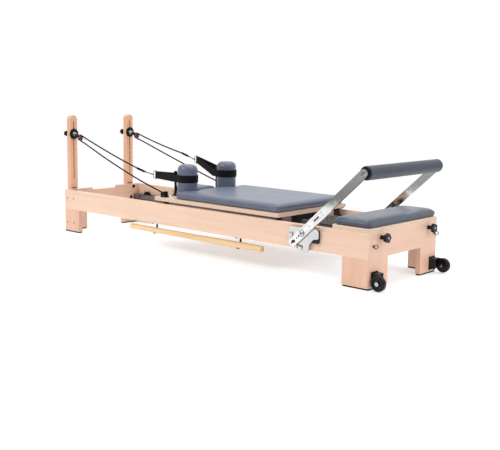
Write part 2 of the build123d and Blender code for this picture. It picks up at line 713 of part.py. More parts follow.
def corner_radii(points):
    """A radius for each corner: as large as its two runs allow, or the sheave's at the pulley."""
    radii = []
    for a, b, c in zip(points, points[1:], points[2:]):
        before = Vector(*b) - Vector(*a)
        after = Vector(*c) - Vector(*b)
        half_turn = radians(before.get_angle(after)) / 2
        widest = 0.45 * min(before.length, after.length) / tan(half_turn)
        radii.append(ROPE_WRAP_R * 0.97 if half_turn > radians(20) else widest)
    return radii


def rope(name, points):
    radii = corner_radii(points)
    path = FilletPolyline(*points, radius=radii)
    section = Plane(origin=path @ 0, z_dir=path % 0) * Circle(ROPE_R)
    tube = sweep(section, path=path)
    expected = path.length * section.area
    print(name, "radii", [round(r) for r in radii], "length", round(path.length))
    print(name, "volume over section times length", round(tube.volume / expected, 4))
    return tube


# ---- footbar ----

def polar(radius, angle):
    return (PIVOT_X + radius * cos(radians(angle)), PIVOT_Z + radius * sin(radians(angle)))


def slot_face(inner, outer, angle, width):
    """A round-ended slot on a ray from the pivot, between two radii of its end centres."""
    a = polar(inner, angle)
    b = polar(outer, angle)
    mid = ((a[0] + b[0]) / 2, (a[1] + b[1]) / 2)
    face = Pos(*mid) * Rot(0, 0, angle) * Rectangle(outer - inner, width)
    return face + Pos(*a) * Circle(width / 2) + Pos(*b) * Circle(width / 2)


def quadrant_face():
    """Outline of the locking plate, with its curved slot and outward notches."""
    plate = Polyline(
        (-97, 28), (-97, -48), (-66, -84), (-20, -105), (32, -100),
        (40, -58), (66, -27), (98, -23), (98, 28),
        close=True,
    )
    face = make_face(plate)
    face = fillet(face.vertices().filter_by(lambda v: v.Y > 0), 20)
    face = fillet(face.vertices().filter_by(lambda v: v.Y < -40 and v.X < 0), 25)
    face = fillet(face.vertices().filter_by(lambda v: v.Y < -20 and v.X > 0), 10)
    face = Pos(PIVOT_X, PIVOT_Z) * face
    low = BAR_LOW + 180
    high = BAR_HIGH + 180
    spread = radians(high - low)
    steps = 12
    ray = [low + (high - low) * i / steps for i in range(steps + 1)]
    half = LOCK_PIN_R + 1.2
    sector = Pos(PIVOT_X, PIVOT_Z) * (Circle(LOCK_FREE_R + half) - Circle(LOCK_FREE_R - half))
    reach = 200 / cos(spread / 2)
    wedge = make_face(Polyline((PIVOT_X, PIVOT_Z), polar(reach, ray[0]), polar(reach, ray[-1]), close=True))
    face -= sector & wedge
    for angle in (low, high):
        face -= Pos(*polar(LOCK_FREE_R, angle)) * Circle(half)
    for angle in NOTCH_ANGLES:
        face -= slot_face(LOCK_FREE_R, LOCK_SET_R + 0.4, angle + 180, 2 * LOCK_PIN_R + 1)
    return face - Pos(PIVOT_X, PIVOT_Z) * Circle(PIVOT_R + 0.05)


def footbar_plates():
    plate = prism_xz(quadrant_face(), PLATE_Y)
    for dx, dz in ((60, 12), (61, -15)):
        at = (PIVOT_X + dx, PIVOT_Z + dz)
        plate += rod((at[0], -PLATE_Y[1] - 1, at[1]), (at[0], -PLATE_Y[0] - 3, at[1]), 4)
    return both_sides(plate)


def plate_spacers():
    """Black block between the locking plate and the rail; its lower corner shows past the plate."""
    face = Pos(PIVOT_X + 38, PIVOT_Z - 14) * RectangleRounded(114, 68, 6)
    face -= Pos(PIVOT_X, PIVOT_Z) * Circle(PIVOT_R + 0.05)
    return both_sides(prism_xz(face, SPACER_Y))


def footbar_pivots():
    """Pivot bolts through the rail, spacer, plate and arm."""
    bolt = rod((PIVOT_X, -ARM_Y[1] - 1, PIVOT_Z), (PIVOT_X, -Y_IN, PIVOT_Z), PIVOT_R)
    bolt += rod((PIVOT_X, -Y_IN, PIVOT_Z), (PIVOT_X, -Y_IN + 6, PIVOT_Z), 13)
    head = rod((PIVOT_X, -ARM_Y[1] - 6, PIVOT_Z), (PIVOT_X, -ARM_Y[1] - 0.5, PIVOT_Z), 12)
    return both_sides(bolt + head)


def footbar_arm():
    """Flat steel arm with the lock slot below the pivot and an adjusting slot above it."""
    face = slot_face(-ARM_TAIL, ARM_LENGTH, ARM_ANGLE, ARM_W)
    face -= Pos(PIVOT_X, PIVOT_Z) * Circle(PIVOT_R + 0.05)
    face -= slot_face(-LOCK_SET_R - 0.2, -LOCK_FREE_R + 0.2, ARM_ANGLE, 2 * LOCK_PIN_R + 0.4)
    face -= slot_face(108, 146, ARM_ANGLE, 9)
    face -= Pos(*polar(65, ARM_ANGLE)) * Circle(3.5)
    face -= Pos(BAR_AXIS_X, BAR_AXIS_Z) * Circle(5.05)
    return prism_xz(face, ARM_Y)


def footbar_tube():
    end = ARM_Y[0]
    tube = rod((BAR_AXIS_X, -end, BAR_AXIS_Z), (BAR_AXIS_X, end, BAR_AXIS_Z), BAR_TUBE_R)
    return tube - rod((BAR_AXIS_X, -end - 1, BAR_AXIS_Z), (BAR_AXIS_X, end + 1, BAR_AXIS_Z), BAR_TUBE_R - 3)


def footbar_foam():
    half = ARM_Y[0] - CAP_T - 3
    foam = rod((BAR_AXIS_X, -half, BAR_AXIS_Z), (BAR_AXIS_X, half, BAR_AXIS_Z), FOAM_R)
    return foam - rod((BAR_AXIS_X, -half - 1, BAR_AXIS_Z), (BAR_AXIS_X, half + 1, BAR_AXIS_Z), BAR_TUBE_R)


def footbar_caps():
    y = -ARM_Y[0] + 3
    cap = rod((BAR_AXIS_X, y, BAR_AXIS_Z), (BAR_AXIS_X, y + CAP_T, BAR_AXIS_Z), FOAM_R + 1)
    cap = fillet(cap.edges().filter_by(GeomType.CIRCLE), 3)
    bore = rod((BAR_AXIS_X, y - 1, BAR_AXIS_Z), (BAR_AXIS_X, y + CAP_T + 1, BAR_AXIS_Z), BAR_TUBE_R)
    return both_sides(cap - bore)


def footbar_bolts():
    """Bolts through the arms' top ends into plugs in the tube."""
    face = -ARM_Y[0]
    bolt = rod((BAR_AXIS_X, face, BAR_AXIS_Z), (BAR_AXIS_X, face + 30, BAR_AXIS_Z), BAR_TUBE_R - 3.05)
    bolt += rod((BAR_AXIS_X, -ARM_Y[1], BAR_AXIS_Z), (BAR_AXIS_X, face, BAR_AXIS_Z), 5)
    bolt += rod((BAR_AXIS_X, -ARM_Y[1] - 6, BAR_AXIS_Z), (BAR_AXIS_X, -ARM_Y[1], BAR_AXIS_Z), 10)
    return both_sides(bolt)


def lock_pins():
    """Pins through the arms' lower slots, drawn clear of the plates' notches."""
    x, z = polar(-LOCK_FREE_R, ARM_ANGLE)
    pin = rod((x, -ARM_Y[1] - 1, z), (x, -PLATE_Y[0] - 0.5, z), LOCK_PIN_R)
    return both_sides(pin + rod((x, -ARM_Y[1] - 6, z), (x, -ARM_Y[1] - 0.5, z), 8))


# ---- transport wheels ----

def wheel_brackets():
    """Box-shaped brackets on the foot legs, each with a fixed axle."""
    bracket = block((X_FOOT, X_FOOT + 6), (-313, -255), (20, 92))
    bracket += block((X_FOOT, ROLLER_X - 6), (-307, -295), (ROLLER_Z - 16, 86))
    bracket += block((X_FOOT, ROLLER_X), (-307, -295), (ROLLER_Z - 14, ROLLER_Z + 14))
    bracket += rod((ROLLER_X, -307, ROLLER_Z), (ROLLER_X, -295, ROLLER_Z), 14)
    bracket += block((X_FOOT, ROLLER_X - 14), (-265, -257), (ROLLER_Z - 16, 86))
    bracket += block((X_FOOT, ROLLER_X - 14), (-307, -257), (80, 86))
    bracket += rod((ROLLER_X, -339, ROLLER_Z), (ROLLER_X, -296, ROLLER_Z), ROLLER_AXLE_R)
    return both_sides(bracket + rod((ROLLER_X, -341, ROLLER_Z), (ROLLER_X, -337, ROLLER_Z), 10))


def transport_wheel():
    """Solid tyre on a dished hub."""
    wheel = rod((ROLLER_X, -ROLLER_Y[1], ROLLER_Z), (ROLLER_X, -ROLLER_Y[0], ROLLER_Z), ROLLER_R)
    wheel = fillet(wheel.edges().filter_by(GeomType.CIRCLE), 6)
    dish = rod((ROLLER_X, -ROLLER_Y[1] - 1, ROLLER_Z), (ROLLER_X, -ROLLER_Y[1] + 5, ROLLER_Z), ROLLER_R - 11)
    dish -= rod((ROLLER_X, -ROLLER_Y[1] - 1, ROLLER_Z), (ROLLER_X, -ROLLER_Y[1] + 5, ROLLER_Z), 15)
    bore = rod((ROLLER_X, -345, ROLLER_Z), (ROLLER_X, -305, ROLLER_Z), ROLLER_AXLE_R + 0.05)
    return wheel - dish - bore


# ---- pole ----

def pole():
    stick = rod((POLE_X[0], POLE_Y, POLE_Z), (POLE_X[1], POLE_Y, POLE_Z), POLE_R)
    return fillet(stick.edges().filter_by(GeomType.CIRCLE), 4)


def pole_hook(x):
    """J-shaped hook under the near rail, open to the outside with a low lip."""
    inner = POLE_R + 0.4
    outer = inner + HOOK_T
    ring = Circle(outer) - Circle(inner)
    keep = Pos(outer / 2, -outer / 2) * Rectangle(outer, outer)
    reach = 2 * outer
    tip = (-reach * sin(radians(24)), -reach * cos(radians(24)))
    lip = make_face(Polyline((0, 0), (0, -reach), tip, close=True))
    arc = ring & (keep + lip)
    stem = Pos((inner + outer) / 2, (RAIL_BOTTOM - POLE_Z) / 2) * Rectangle(HOOK_T, RAIL_BOTTOM - POLE_Z)
    top = RAIL_BOTTOM - POLE_Z
    foot = Pos(outer - 22, top - HOOK_T / 2) * Rectangle(44, HOOK_T)
    face = arc + stem + foot
    plane = Plane(origin=(x - HOOK_W / 2, POLE_Y, POLE_Z), x_dir=(0, 1, 0), z_dir=(1, 0, 0))
    return extrude(plane * face, amount=HOOK_W)


def pole_hooks():
    return Part() + [pole_hook(x) for x in HOOK_X]


NODES = {
    "side_rails": both_sides(side_rail()),
    "head_panel": head_panel(),
    "foot_panel": foot_panel(),
    "legs": legs(),
    "rubber_feet": rubber_feet(),
    "corner_blocks": corner_blocks(),
    "frame_bolts": frame_bolts(),
    "riser_posts": both_sides(riser_post()),
    "black_fasteners": riser_hardware() + track_bolts(),
    "pulley_carrier_near": pulley_carrier(),
    "pulley_carrier_far": far_side(pulley_carrier()),
    "sheave_near": sheave(),
    "sheave_far": far_side(sheave()),
    "post_knob_near": post_knob(),
    "post_knob_far": far_side(post_knob()),
    "tracks": both_sides(track()),
    "track_stops": track_stops(),
    "spring_anchor": spring_anchor(),
    "spring_bar": spring_bar(),
    "springs": springs(),
    "platform_board": platform_board(),
    "platform_pad": platform_pad(),
    "platform_cleats": platform_cleats(),
    "foot_knob_near": foot_knob(),
    "foot_knob_far": far_side(foot_knob()),
    "eye_bolts": eye_bolts(),
    "carriage_board": carriage_board(),
    "carriage_pad": carriage_pad(),
    "wheel_hangers": wheel_hangers(),
    "carriage_wheel_head_near": carriage_wheel(WHEEL_X[0]),
    "carriage_wheel_head_far": far_side(carriage_wheel(WHEEL_X[0])),
    "carriage_wheel_foot_near": carriage_wheel(WHEEL_X[1]),
    "carriage_wheel_foot_far": far_side(carriage_wheel(WHEEL_X[1])),
    "rope_pegs": rope_pegs(),
    "rope_cleats": rope_cleats(),
    "shoulder_pad_near": shoulder_pad(),
    "shoulder_pad_far": far_side(shoulder_pad()),
    "shoulder_base_near": shoulder_base(),
    "shoulder_base_far": far_side(shoulder_base()),
    "headrest_hinge": headrest_hinge(),
    "headrest_board": headrest_board(),
    "headrest_pad": headrest_pad(),
    "hand_straps": straps(),
    "rope_hooks": rope_hooks(),
    "ferrules": ferrules(),
    "rope_near": rope("rope_near", NEAR_ROPE),
    "rope_far": rope("rope_far", FAR_ROPE),
    "footbar_plates": footbar_plates(),
    "plate_spacers": plate_spacers(),
    "footbar_pivots": footbar_pivots(),
    "footbar_arms": both_sides(footbar_arm()),
    "footbar_tube": footbar_tube() + footbar_bolts(),
    "footbar_foam": footbar_foam(),
    "footbar_caps": footbar_caps(),
    "lock_pins": lock_pins(),
    "wheel_brackets": wheel_brackets(),
    "transport_wheel_near": transport_wheel(),
    "transport_wheel_far": far_side(transport_wheel()),
    "pole": pole(),
    "pole_hooks": pole_hooks(),
}

os.makedirs("parts", exist_ok=True)
for name, shape in NODES.items():
    export_step(Pos(ORIGIN_X, 0, 0) * shape, f"parts/{name}.step")
print(len(NODES), "nodes")
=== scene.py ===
import math

import bmesh
import bpy
from mathutils import Matrix, Vector, noise


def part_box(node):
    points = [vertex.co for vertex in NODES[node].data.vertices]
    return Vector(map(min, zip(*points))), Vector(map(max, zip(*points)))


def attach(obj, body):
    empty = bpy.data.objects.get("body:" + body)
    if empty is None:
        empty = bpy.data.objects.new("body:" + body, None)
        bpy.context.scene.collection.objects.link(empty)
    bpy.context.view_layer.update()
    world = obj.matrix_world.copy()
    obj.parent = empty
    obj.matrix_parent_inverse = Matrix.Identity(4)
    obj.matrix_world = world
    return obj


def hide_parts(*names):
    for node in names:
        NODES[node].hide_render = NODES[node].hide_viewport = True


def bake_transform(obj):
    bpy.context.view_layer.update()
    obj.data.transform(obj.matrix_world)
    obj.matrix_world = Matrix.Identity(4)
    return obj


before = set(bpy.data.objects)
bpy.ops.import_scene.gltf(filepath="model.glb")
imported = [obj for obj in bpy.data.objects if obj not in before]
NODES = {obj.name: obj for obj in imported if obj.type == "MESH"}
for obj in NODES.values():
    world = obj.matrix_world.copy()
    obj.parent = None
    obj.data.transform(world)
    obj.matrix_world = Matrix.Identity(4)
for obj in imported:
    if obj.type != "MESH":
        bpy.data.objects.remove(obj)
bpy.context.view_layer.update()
MM = 0.001
SIDES = ("near", "far")
OUTWARD = {"near": -1, "far": 1}

# The row frame's origin is this far from the middle of the wooden frame, along X.
ORIGIN_X = -0.002


def at(x, y, z):
    """A point given in millimetres from the middle of the wooden frame, in the row frame."""
    return Vector((x * MM + ORIGIN_X, y * MM, z * MM))


def span_of(node):
    """A CAD node's two box corners, and its middle."""
    low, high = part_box(node)
    return low, high, (low + high) / 2


# --- node helpers

# The Mix node's inputs and output for colours, among those for its other data types.
MIX_INPUTS = (0, 6, 7)
MIX_COLOUR = 2


class Nodes:
    """A node tree, with short names for the nodes that the materials and the studio share."""

    def __init__(self, tree):
        self.tree = tree

    def node(self, kind, **values):
        made = self.tree.nodes.new(kind)
        for key, value in values.items():
            if hasattr(made, key):
                setattr(made, key, value)
            else:
                made.inputs[key.replace("_", " ")].default_value = value
        return made

    def link(self, source, target):
        self.tree.links.new(source, target)

    def fill(self, socket, value):
        """Sets an input from another socket, a number or a colour."""
        if isinstance(value, bpy.types.NodeSocket):
            self.link(value, socket)
        elif isinstance(value, (int, float)):
            socket.default_value = value
        else:
            socket.default_value = (*value, 1)

    def coords(self, scale=(1, 1, 1), turn=(0, 0, 0), uv=False):
        """Places in the row frame, or along a strip's own length and width, stretched by scale."""
        source = self.node("ShaderNodeTexCoord").outputs["UV" if uv else "Object"]
        mapping = self.node("ShaderNodeMapping", Scale=scale, Rotation=turn)
        self.link(source, mapping.inputs["Vector"])
        return mapping.outputs["Vector"]

    def noise(self, where, scale, detail=4.0, rough=0.5, distortion=0.0):
        values = {"Scale": scale, "Detail": detail, "Roughness": rough, "Distortion": distortion}
        made = self.node("ShaderNodeTexNoise", **values)
        self.link(where, made.inputs["Vector"])
        return made.outputs["Fac"]

    def cells(self, where, scale, feature="F1"):
        made = self.node("ShaderNodeTexVoronoi", feature=feature, Scale=scale)
        self.link(where, made.inputs["Vector"])
        return made.outputs["Distance"]

    def wave(self, where, scale, direction="X", distortion=0.0):
        made = self.node("ShaderNodeTexWave", bands_direction=direction, Scale=scale, Distortion=distortion)
        self.link(where, made.inputs["Vector"])
        return made.outputs["Fac"]

    def remap(self, value, low, high, new_low, new_high):
        limits = {"From_Min": low, "From_Max": high, "To_Min": new_low, "To_Max": new_high}
        made = self.node("ShaderNodeMapRange", **limits)
        self.link(value, made.inputs["Value"])
        return made.outputs["Result"]

    def ramp(self, value, *stops):
        made = self.node("ShaderNodeValToRGB")
        elements = made.color_ramp.elements
        while len(elements) < len(stops):
            elements.new(0.5)
        for element, (place, colour) in zip(elements, stops):
            element.position = place
            element.color = (*colour, 1)
        self.link(value, made.inputs["Fac"])
        return made.outputs["Color"]

    def mix(self, factor, first, second, mode="MIX"):
        """Blends two colours; factor, first and second are sockets or plain values."""
        made = self.node("ShaderNodeMix", data_type="RGBA", blend_type=mode)
        for index, value in zip(MIX_INPUTS, (factor, first, second)):
            self.fill(made.inputs[index], value)
        return made.outputs[MIX_COLOUR]

    def math(self, operation, first, second=0.0):
        made = self.node("ShaderNodeMath", operation=operation)
        self.fill(made.inputs[0], first)
        self.fill(made.inputs[1], second)
        return made.outputs[0]

    def bump(self, height, strength, distance):
        made = self.node("ShaderNodeBump", Strength=strength, Distance=distance)
        self.link(height, made.inputs["Height"])
        return made.outputs["Normal"]


class Shader(Nodes):
    """A material with a Principled shader."""

    def __init__(self, name):
        self.material = bpy.data.materials.new(name)
        self.material.use_nodes = True
        super().__init__(self.material.node_tree)
        self.bsdf = self.tree.nodes["Principled BSDF"]

    def worn(self, colour, bright, amount):
        """Lightens a colour along sharp edges, where handling has rubbed it."""
        point = self.node("ShaderNodeNewGeometry").outputs["Pointiness"]
        edge = self.remap(point, 0.52, 0.60, 0.0, amount)
        return self.mix(edge, colour, bright)

    def finish(self, colour, rough, normal=None, **values):
        for socket, value in (("Base Color", colour), ("Roughness", rough), ("Normal", normal)):
            if value is not None:
                self.fill(self.bsdf.inputs[socket], value)
        for key, value in values.items():
            self.bsdf.inputs[key.replace("_", " ")].default_value = value
        return self.material


# --- materials

def tinted(colour, factor, lift=0.0):
    """A colour made paler or darker."""
    return [min(1, c * factor + lift) for c in colour]


def drawn_out(axis, across, along):
    """Pattern scales for grain that runs along one axis."""
    return [along if name == axis else across for name in "XYZ"]


def wood(name, axis, light, dark, streak=1.0):
    """Lacquered timber with its grain along one axis: broad bands, fine lines and short pores."""
    shader = Shader(name)
    broad = shader.noise(shader.coords(drawn_out(axis, 9.0, 0.55)), 2.2, 6, 0.55, 0.9)
    fine = shader.noise(shader.coords(drawn_out(axis, 260.0, 7.0)), 1.0, 4, 0.6)
    fleck = shader.noise(shader.coords(drawn_out(axis, 300.0, 40.0)), 1.0, 2, 0.5)
    patch = shader.noise(shader.coords(), 1.3, 2, 0.5)
    base = shader.ramp(broad, (0.30, dark), (0.50, light), (0.68, tinted(light, 1.05)))
    lines = shader.remap(fine, 0.35, 0.70, 0.90, 1.03)
    grained = shader.mix(0.75 * streak, base, lines, "MULTIPLY")
    flecked = shader.mix(shader.remap(fleck, 0.60, 0.75, 0.0, 0.22), grained, dark)
    colour = shader.mix(shader.remap(patch, 0.35, 0.65, 0.0, 0.25), flecked, dark)
    normal = shader.bump(fine, 0.10, 0.0004)
    rough = shader.remap(fine, 0.3, 0.7, 0.34, 0.46)
    return shader.finish(colour, rough, normal, Coat_Weight=0.18, Coat_Roughness=0.22)


def plywood(name, light, dark):
    """Lacquered ply: face veneer above, and thin alternating layers on the edges."""
    shader = Shader(name)
    broad = shader.noise(shader.coords((0.8, 9, 9)), 2.4, 6, 0.55, 0.8)
    face = shader.ramp(broad, (0.3, dark), (0.52, light), (0.7, tinted(light, 1.04)))
    fine = shader.noise(shader.coords((7, 240, 240)), 1.0, 3, 0.6)
    face = shader.mix(0.7, face, shader.remap(fine, 0.35, 0.7, 0.9, 1.03), "MULTIPLY")
    layers = shader.wave(shader.coords(), 60.0, "Z", 0.3)
    edge = shader.ramp(layers, (0.25, tinted(dark, 0.80)), (0.6, tinted(light, 1.02)))
    normal_z = shader.node("ShaderNodeSeparateXYZ")
    shader.link(shader.node("ShaderNodeNewGeometry").outputs["True Normal"], normal_z.inputs[0])
    upright = shader.math("LESS_THAN", shader.math("ABSOLUTE", normal_z.outputs["Z"]), 0.5)
    normal = shader.bump(fine, 0.10, 0.0004)
    colour = shader.mix(upright, face, edge)
    return shader.finish(colour, 0.42, normal, Coat_Weight=0.15, Coat_Roughness=0.25)


def leather(name, base, pale):
    """Synthetic leather: small rounded pebbles, soft sheen, slight mottling."""
    shader = Shader(name)
    where = shader.coords()
    pebbles = shader.cells(where, 620.0, "SMOOTH_F1")
    folds = shader.noise(where, 150.0, 5, 0.6)
    mottle = shader.noise(where, 9.0, 4, 0.55)
    colour = shader.mix(shader.remap(mottle, 0.3, 0.7, 0.0, 0.55), base, pale)
    colour = shader.mix(shader.remap(pebbles, 0.0, 0.6, 0.22, 0.0), colour, tinted(base, 0.7))
    height = shader.math("ADD", pebbles, shader.math("MULTIPLY", folds, 0.6))
    normal = shader.bump(height, 0.22, 0.0006)
    rough = shader.remap(mottle, 0.3, 0.7, 0.36, 0.48)
    gloss = {"Sheen_Weight": 0.1, "Specular_IOR_Level": 0.6, "Coat_Weight": 0.25, "Coat_Roughness": 0.3}
    return shader.finish(colour, rough, normal, **gloss)


def webbing(name, base, pale):
    """Flat woven strap: ribs across it and a twill of fine threads."""
    shader = Shader(name)
    where = shader.coords(uv=True)
    ribs = shader.wave(where, 210.0, "X", 0.4)
    threads = shader.wave(shader.coords(turn=(0, 0, 0.7), uv=True), 330.0, "Y", 0.6)
    fuzz = shader.noise(where, 900.0, 3, 0.6)
    weave = shader.math("ADD", shader.math("MULTIPLY", ribs, 0.6), shader.math("MULTIPLY", threads, 0.4))
    colour = shader.ramp(weave, (0.2, base), (0.9, pale))
    colour = shader.mix(shader.remap(fuzz, 0.45, 0.8, 0.0, 0.35), colour, pale)
    normal = shader.bump(weave, 0.5, 0.0005)
    return shader.finish(colour, 0.62, normal, Sheen_Weight=0.01, Specular_IOR_Level=0.12)


def braid(name, base, pale):
    """Braided cord: two sets of strands that wind round it in opposite ways."""
    shader = Shader(name)
    lay = 0.85
    left = shader.wave(shader.coords(turn=(0, 0, lay), uv=True), 190.0, "X", 0.2)
    right = shader.wave(shader.coords(turn=(0, 0, -lay), uv=True), 190.0, "X", 0.2)
    strands = shader.math("MULTIPLY", left, right)
    fuzz = shader.noise(shader.coords(uv=True), 800.0, 3, 0.6)
    colour = shader.ramp(strands, (0.05, base), (0.75, pale))
    colour = shader.mix(shader.remap(fuzz, 0.45, 0.8, 0.0, 0.3), colour, pale)
    return shader.finish(colour, 0.75, shader.bump(strands, 0.6, 0.0008), Specular_IOR_Level=0.04)


def plastic(name, base, pale, rough, grain=900.0, depth=0.0003, shine=0.5):
    """Moulded plastic or rubber: fine spark-eroded grain and slightly rubbed edges."""
    shader = Shader(name)
    where = shader.coords()
    grains = shader.noise(where, grain, 3, 0.6)
    mottle = shader.noise(where, 40.0, 3, 0.5)
    colour = shader.mix(shader.remap(mottle, 0.35, 0.7, 0.0, 0.4), base, pale)
    colour = shader.worn(colour, tinted(pale, 2.0, 0.01), 0.45)
    roughness = shader.remap(mottle, 0.3, 0.7, rough - 0.06, rough + 0.08)
    return shader.finish(colour, roughness, shader.bump(grains, 0.25, depth), Specular_IOR_Level=shine)


def metal(name, base, rough, brushed, worn, metallic, scratch=0.12, shine=0.5):
    """Metal with drawn or polished lines along one axis and brighter rubbed edges."""
    shader = Shader(name)
    lines = shader.noise(shader.coords(brushed), 1.0, 5, 0.65)
    cloud = shader.noise(shader.coords(), 26.0, 4, 0.55)
    colour = shader.mix(shader.remap(lines, 0.3, 0.7, 0.0, 0.5), base, tinted(base, 0.82))
    colour = shader.worn(colour, tinted(base, 1.25, 0.04), worn)
    roughness = shader.math("ADD", shader.remap(lines, 0.3, 0.7, rough * 0.75, rough * 1.3),
                            shader.remap(cloud, 0.4, 0.75, 0.0, 0.06))
    normal = shader.bump(lines, scratch, 0.0002)
    return shader.finish(colour, roughness, normal, Metallic=metallic, Specular_IOR_Level=shine)


def foam(name, base, pale):
    """Closed-cell foam skin: tiny open cells and a soft sheen."""
    shader = Shader(name)
    where = shader.coords()
    cells = shader.cells(where, 1100.0)
    mottle = shader.noise(where, 30.0, 3, 0.5)
    colour = shader.mix(shader.remap(mottle, 0.3, 0.7, 0.0, 0.5), base, pale)
    colour = shader.mix(shader.remap(cells, 0.0, 0.5, 0.25, 0.0), colour, tinted(base, 0.5))
    return shader.finish(colour, 0.55, shader.bump(cells, 0.3, 0.0004), Sheen_Weight=0.2)


# Colours are linear light.
MAPLE_LIGHT = (0.815, 0.575, 0.435)
MAPLE_DARK = (0.755, 0.50, 0.36)
LEATHER = (0.084, 0.103, 0.162)
LEATHER_PALE = (0.112, 0.135, 0.204)
BLACK = (0.003, 0.003, 0.0035)
BLACK_PALE = (0.008, 0.008, 0.009)

maple_x = wood("maple_along_x", "X", MAPLE_LIGHT, MAPLE_DARK)
maple_y = wood("maple_along_y", "Y", (0.74, 0.485, 0.355), (0.69, 0.425, 0.30))
maple_z = wood("maple_upright", "Z", (0.78, 0.485, 0.34), (0.73, 0.435, 0.295))
ply = plywood("birch_ply", (0.80, 0.58, 0.44), (0.66, 0.45, 0.33))
pole_wood = wood("pole_wood", "X", (0.86, 0.60, 0.34), (0.74, 0.47, 0.23), 1.2)
# Wood for the riser posts, more saturated than the frame's, and darker: the darkening is painted shade for
# the posts' shaded foot-facing fronts.
post_tone_and_painted_shade = wood("post_tone_and_painted_shade", "Z", (0.80, 0.455, 0.295), (0.73, 0.395, 0.25), 0.6)
blue_leather = leather("blue_grey_leather", LEATHER, LEATHER_PALE)
# A darker copy of the blue-grey leather for the platform pad: painted shade, as that pad is covered in the
# same leather as the carriage pad.
leather_painted_shade = leather("blue_grey_leather_painted_shade", (0.034, 0.052, 0.086), (0.049, 0.071, 0.112))
black_webbing = webbing("black_webbing", (0.002, 0.002, 0.0025), (0.009, 0.009, 0.011))
black_braid = braid("black_braid", (0.001, 0.001, 0.001), (0.006, 0.006, 0.007))
black_plastic = plastic("black_plastic", BLACK, BLACK_PALE, 0.30, shine=0.22)
black_rubber = plastic("black_rubber", (0.002, 0.002, 0.002), (0.006, 0.006, 0.006), 0.72,
                       grain=500.0, depth=0.0005, shine=0.06)
tyre_rubber = plastic("tyre_rubber", (0.002, 0.002, 0.0025), (0.006, 0.006, 0.007), 0.24,
                      grain=500.0, shine=0.25)
maroon = plastic("maroon_plastic", (0.13, 0.038, 0.03), (0.22, 0.08, 0.06), 0.3, shine=0.25)
black_steel = metal("black_steel", (0.006, 0.006, 0.007), 0.36, (60, 60, 60), 0.3, 0.1, 0.2, 0.25)
brown_steel = metal("brown_steel", (0.20, 0.10, 0.06), 0.42, (80, 80, 80), 0.3, 0.6)
polished = metal("polished_steel", (0.55, 0.545, 0.54), 0.12, (25, 25, 25), 0.15, 1.0, 0.05)
arm_steel = metal("arm_steel", (0.70, 0.695, 0.69), 0.07, (40, 40, 600), 0.15, 1.0, 0.03)
ring_steel = metal("ring_steel", (0.16, 0.16, 0.165), 0.18, (60, 60, 60), 0.3, 1.0, 0.05)
track_metal = metal("anodised_track", (0.15, 0.125, 0.13), 0.42, (4, 700, 700), 0.25, 0.5, 0.15)
# Near-black for thin marks on the arms, and painted shade where it fills the arm's slot, holes and sockets.
dark_marks_and_painted_shade = plastic("dark_mark_and_painted_shade", (0.006, 0.006, 0.006), (0.012, 0.012, 0.012), 0.6)
spring_wire = metal("spring_wire", (0.12, 0.115, 0.11), 0.26, (300, 300, 300), 0.3, 0.8)
bar_foam = foam("blue_grey_foam", (0.010, 0.020, 0.040), (0.018, 0.030, 0.054))


# --- mesh helpers

def linked(name, data):
    """A new object in the scene."""
    made = bpy.data.objects.new(name, data)
    bpy.context.scene.collection.objects.link(made)
    return made


def new_mesh(name, vertices, faces, material, smooth=True):
    """A new mesh object with one material."""
    mesh = bpy.data.meshes.new(name)
    mesh.from_pydata([tuple(v) for v in vertices], [], faces)
    mesh.update()
    made = linked(name, mesh)
    mesh.materials.append(material)
    if smooth:
        mesh.polygons.foreach_set("use_smooth", [True] * len(mesh.polygons))
    return made


def applied(made):
    """Turns an object's modifiers into plain mesh."""
    graph = bpy.context.evaluated_depsgraph_get()
    mesh = bpy.data.meshes.new_from_object(made.evaluated_get(graph))
    materials = list(made.data.materials)
    made.modifiers.clear()
    made.data = mesh
    if not mesh.materials:
        for material in materials:
            mesh.materials.append(material)


def frames_along(points, closed=False):
    """A side and an up vector at each point of a line, without twist."""
    count = len(points)
    tangents = []
    for i in range(count):
        before = points[(i - 1) % count] if closed or i > 0 else points[0]
        after = points[(i + 1) % count] if closed or i < count - 1 else points[-1]
        tangents.append((after - before).normalized())
    side = tangents[0].orthogonal().normalized()
    result = []
    for tangent in tangents:
        side = (side - tangent * side.dot(tangent)).normalized()
        result.append((side.copy(), tangent.cross(side)))
    return result


def around(count, turn=0.0):
    """The angles of evenly spread spokes."""
    return [2 * math.pi * k / count + turn for k in range(count)]


def pairs(count):
    """Each number below count with the next one, round a ring."""
    return [(k, (k + 1) % count) for k in range(count)]


def lengths_along(line, unit=1.0):
    """How far along a line each point lies, and last the way back to its start."""
    lengths = [0.0]
    for a, b in zip(line, line[1:] + line[:1]):
        lengths.append(lengths[-1] + (b - a).length * unit)
    return lengths


def tube(name, points, radius, material, sides, closed=False, radii=None):
    """A round tube along points, with UV metres along and round it."""
    rings = frames_along(points, closed)
    vertices = []
    for i, (point, (side, up)) in enumerate(zip(points, rings)):
        size = radii[i] if radii else radius
        for angle in around(sides):
            vertices.append(point + side * math.cos(angle) * size + up * math.sin(angle) * size)
    faces = []
    spans = len(points) if closed else len(points) - 1
    for i in range(spans):
        j = (i + 1) % len(points)
        for k, n in pairs(sides):
            faces.append((i * sides + k, i * sides + n, j * sides + n, j * sides + k))
    if not closed:
        faces.append(tuple(reversed(range(sides))))
        faces.append(tuple(range((len(points) - 1) * sides, len(points) * sides)))
    made = new_mesh(name, vertices, faces, material)
    lengths = lengths_along(points)
    layer = made.data.uv_layers.new(name="length")
    width = 2 * math.pi * radius / sides
    for index, polygon in enumerate(made.data.polygons):
        span, k = divmod(index, sides)
        if span >= spans:
            continue
        corners = ((span, k), (span, k + 1), (span + 1, k + 1), (span + 1, k))
        for loop, (i, j) in zip(polygon.loop_indices, corners):
            layer.data[loop].uv = (lengths[i], j * width)
    return made


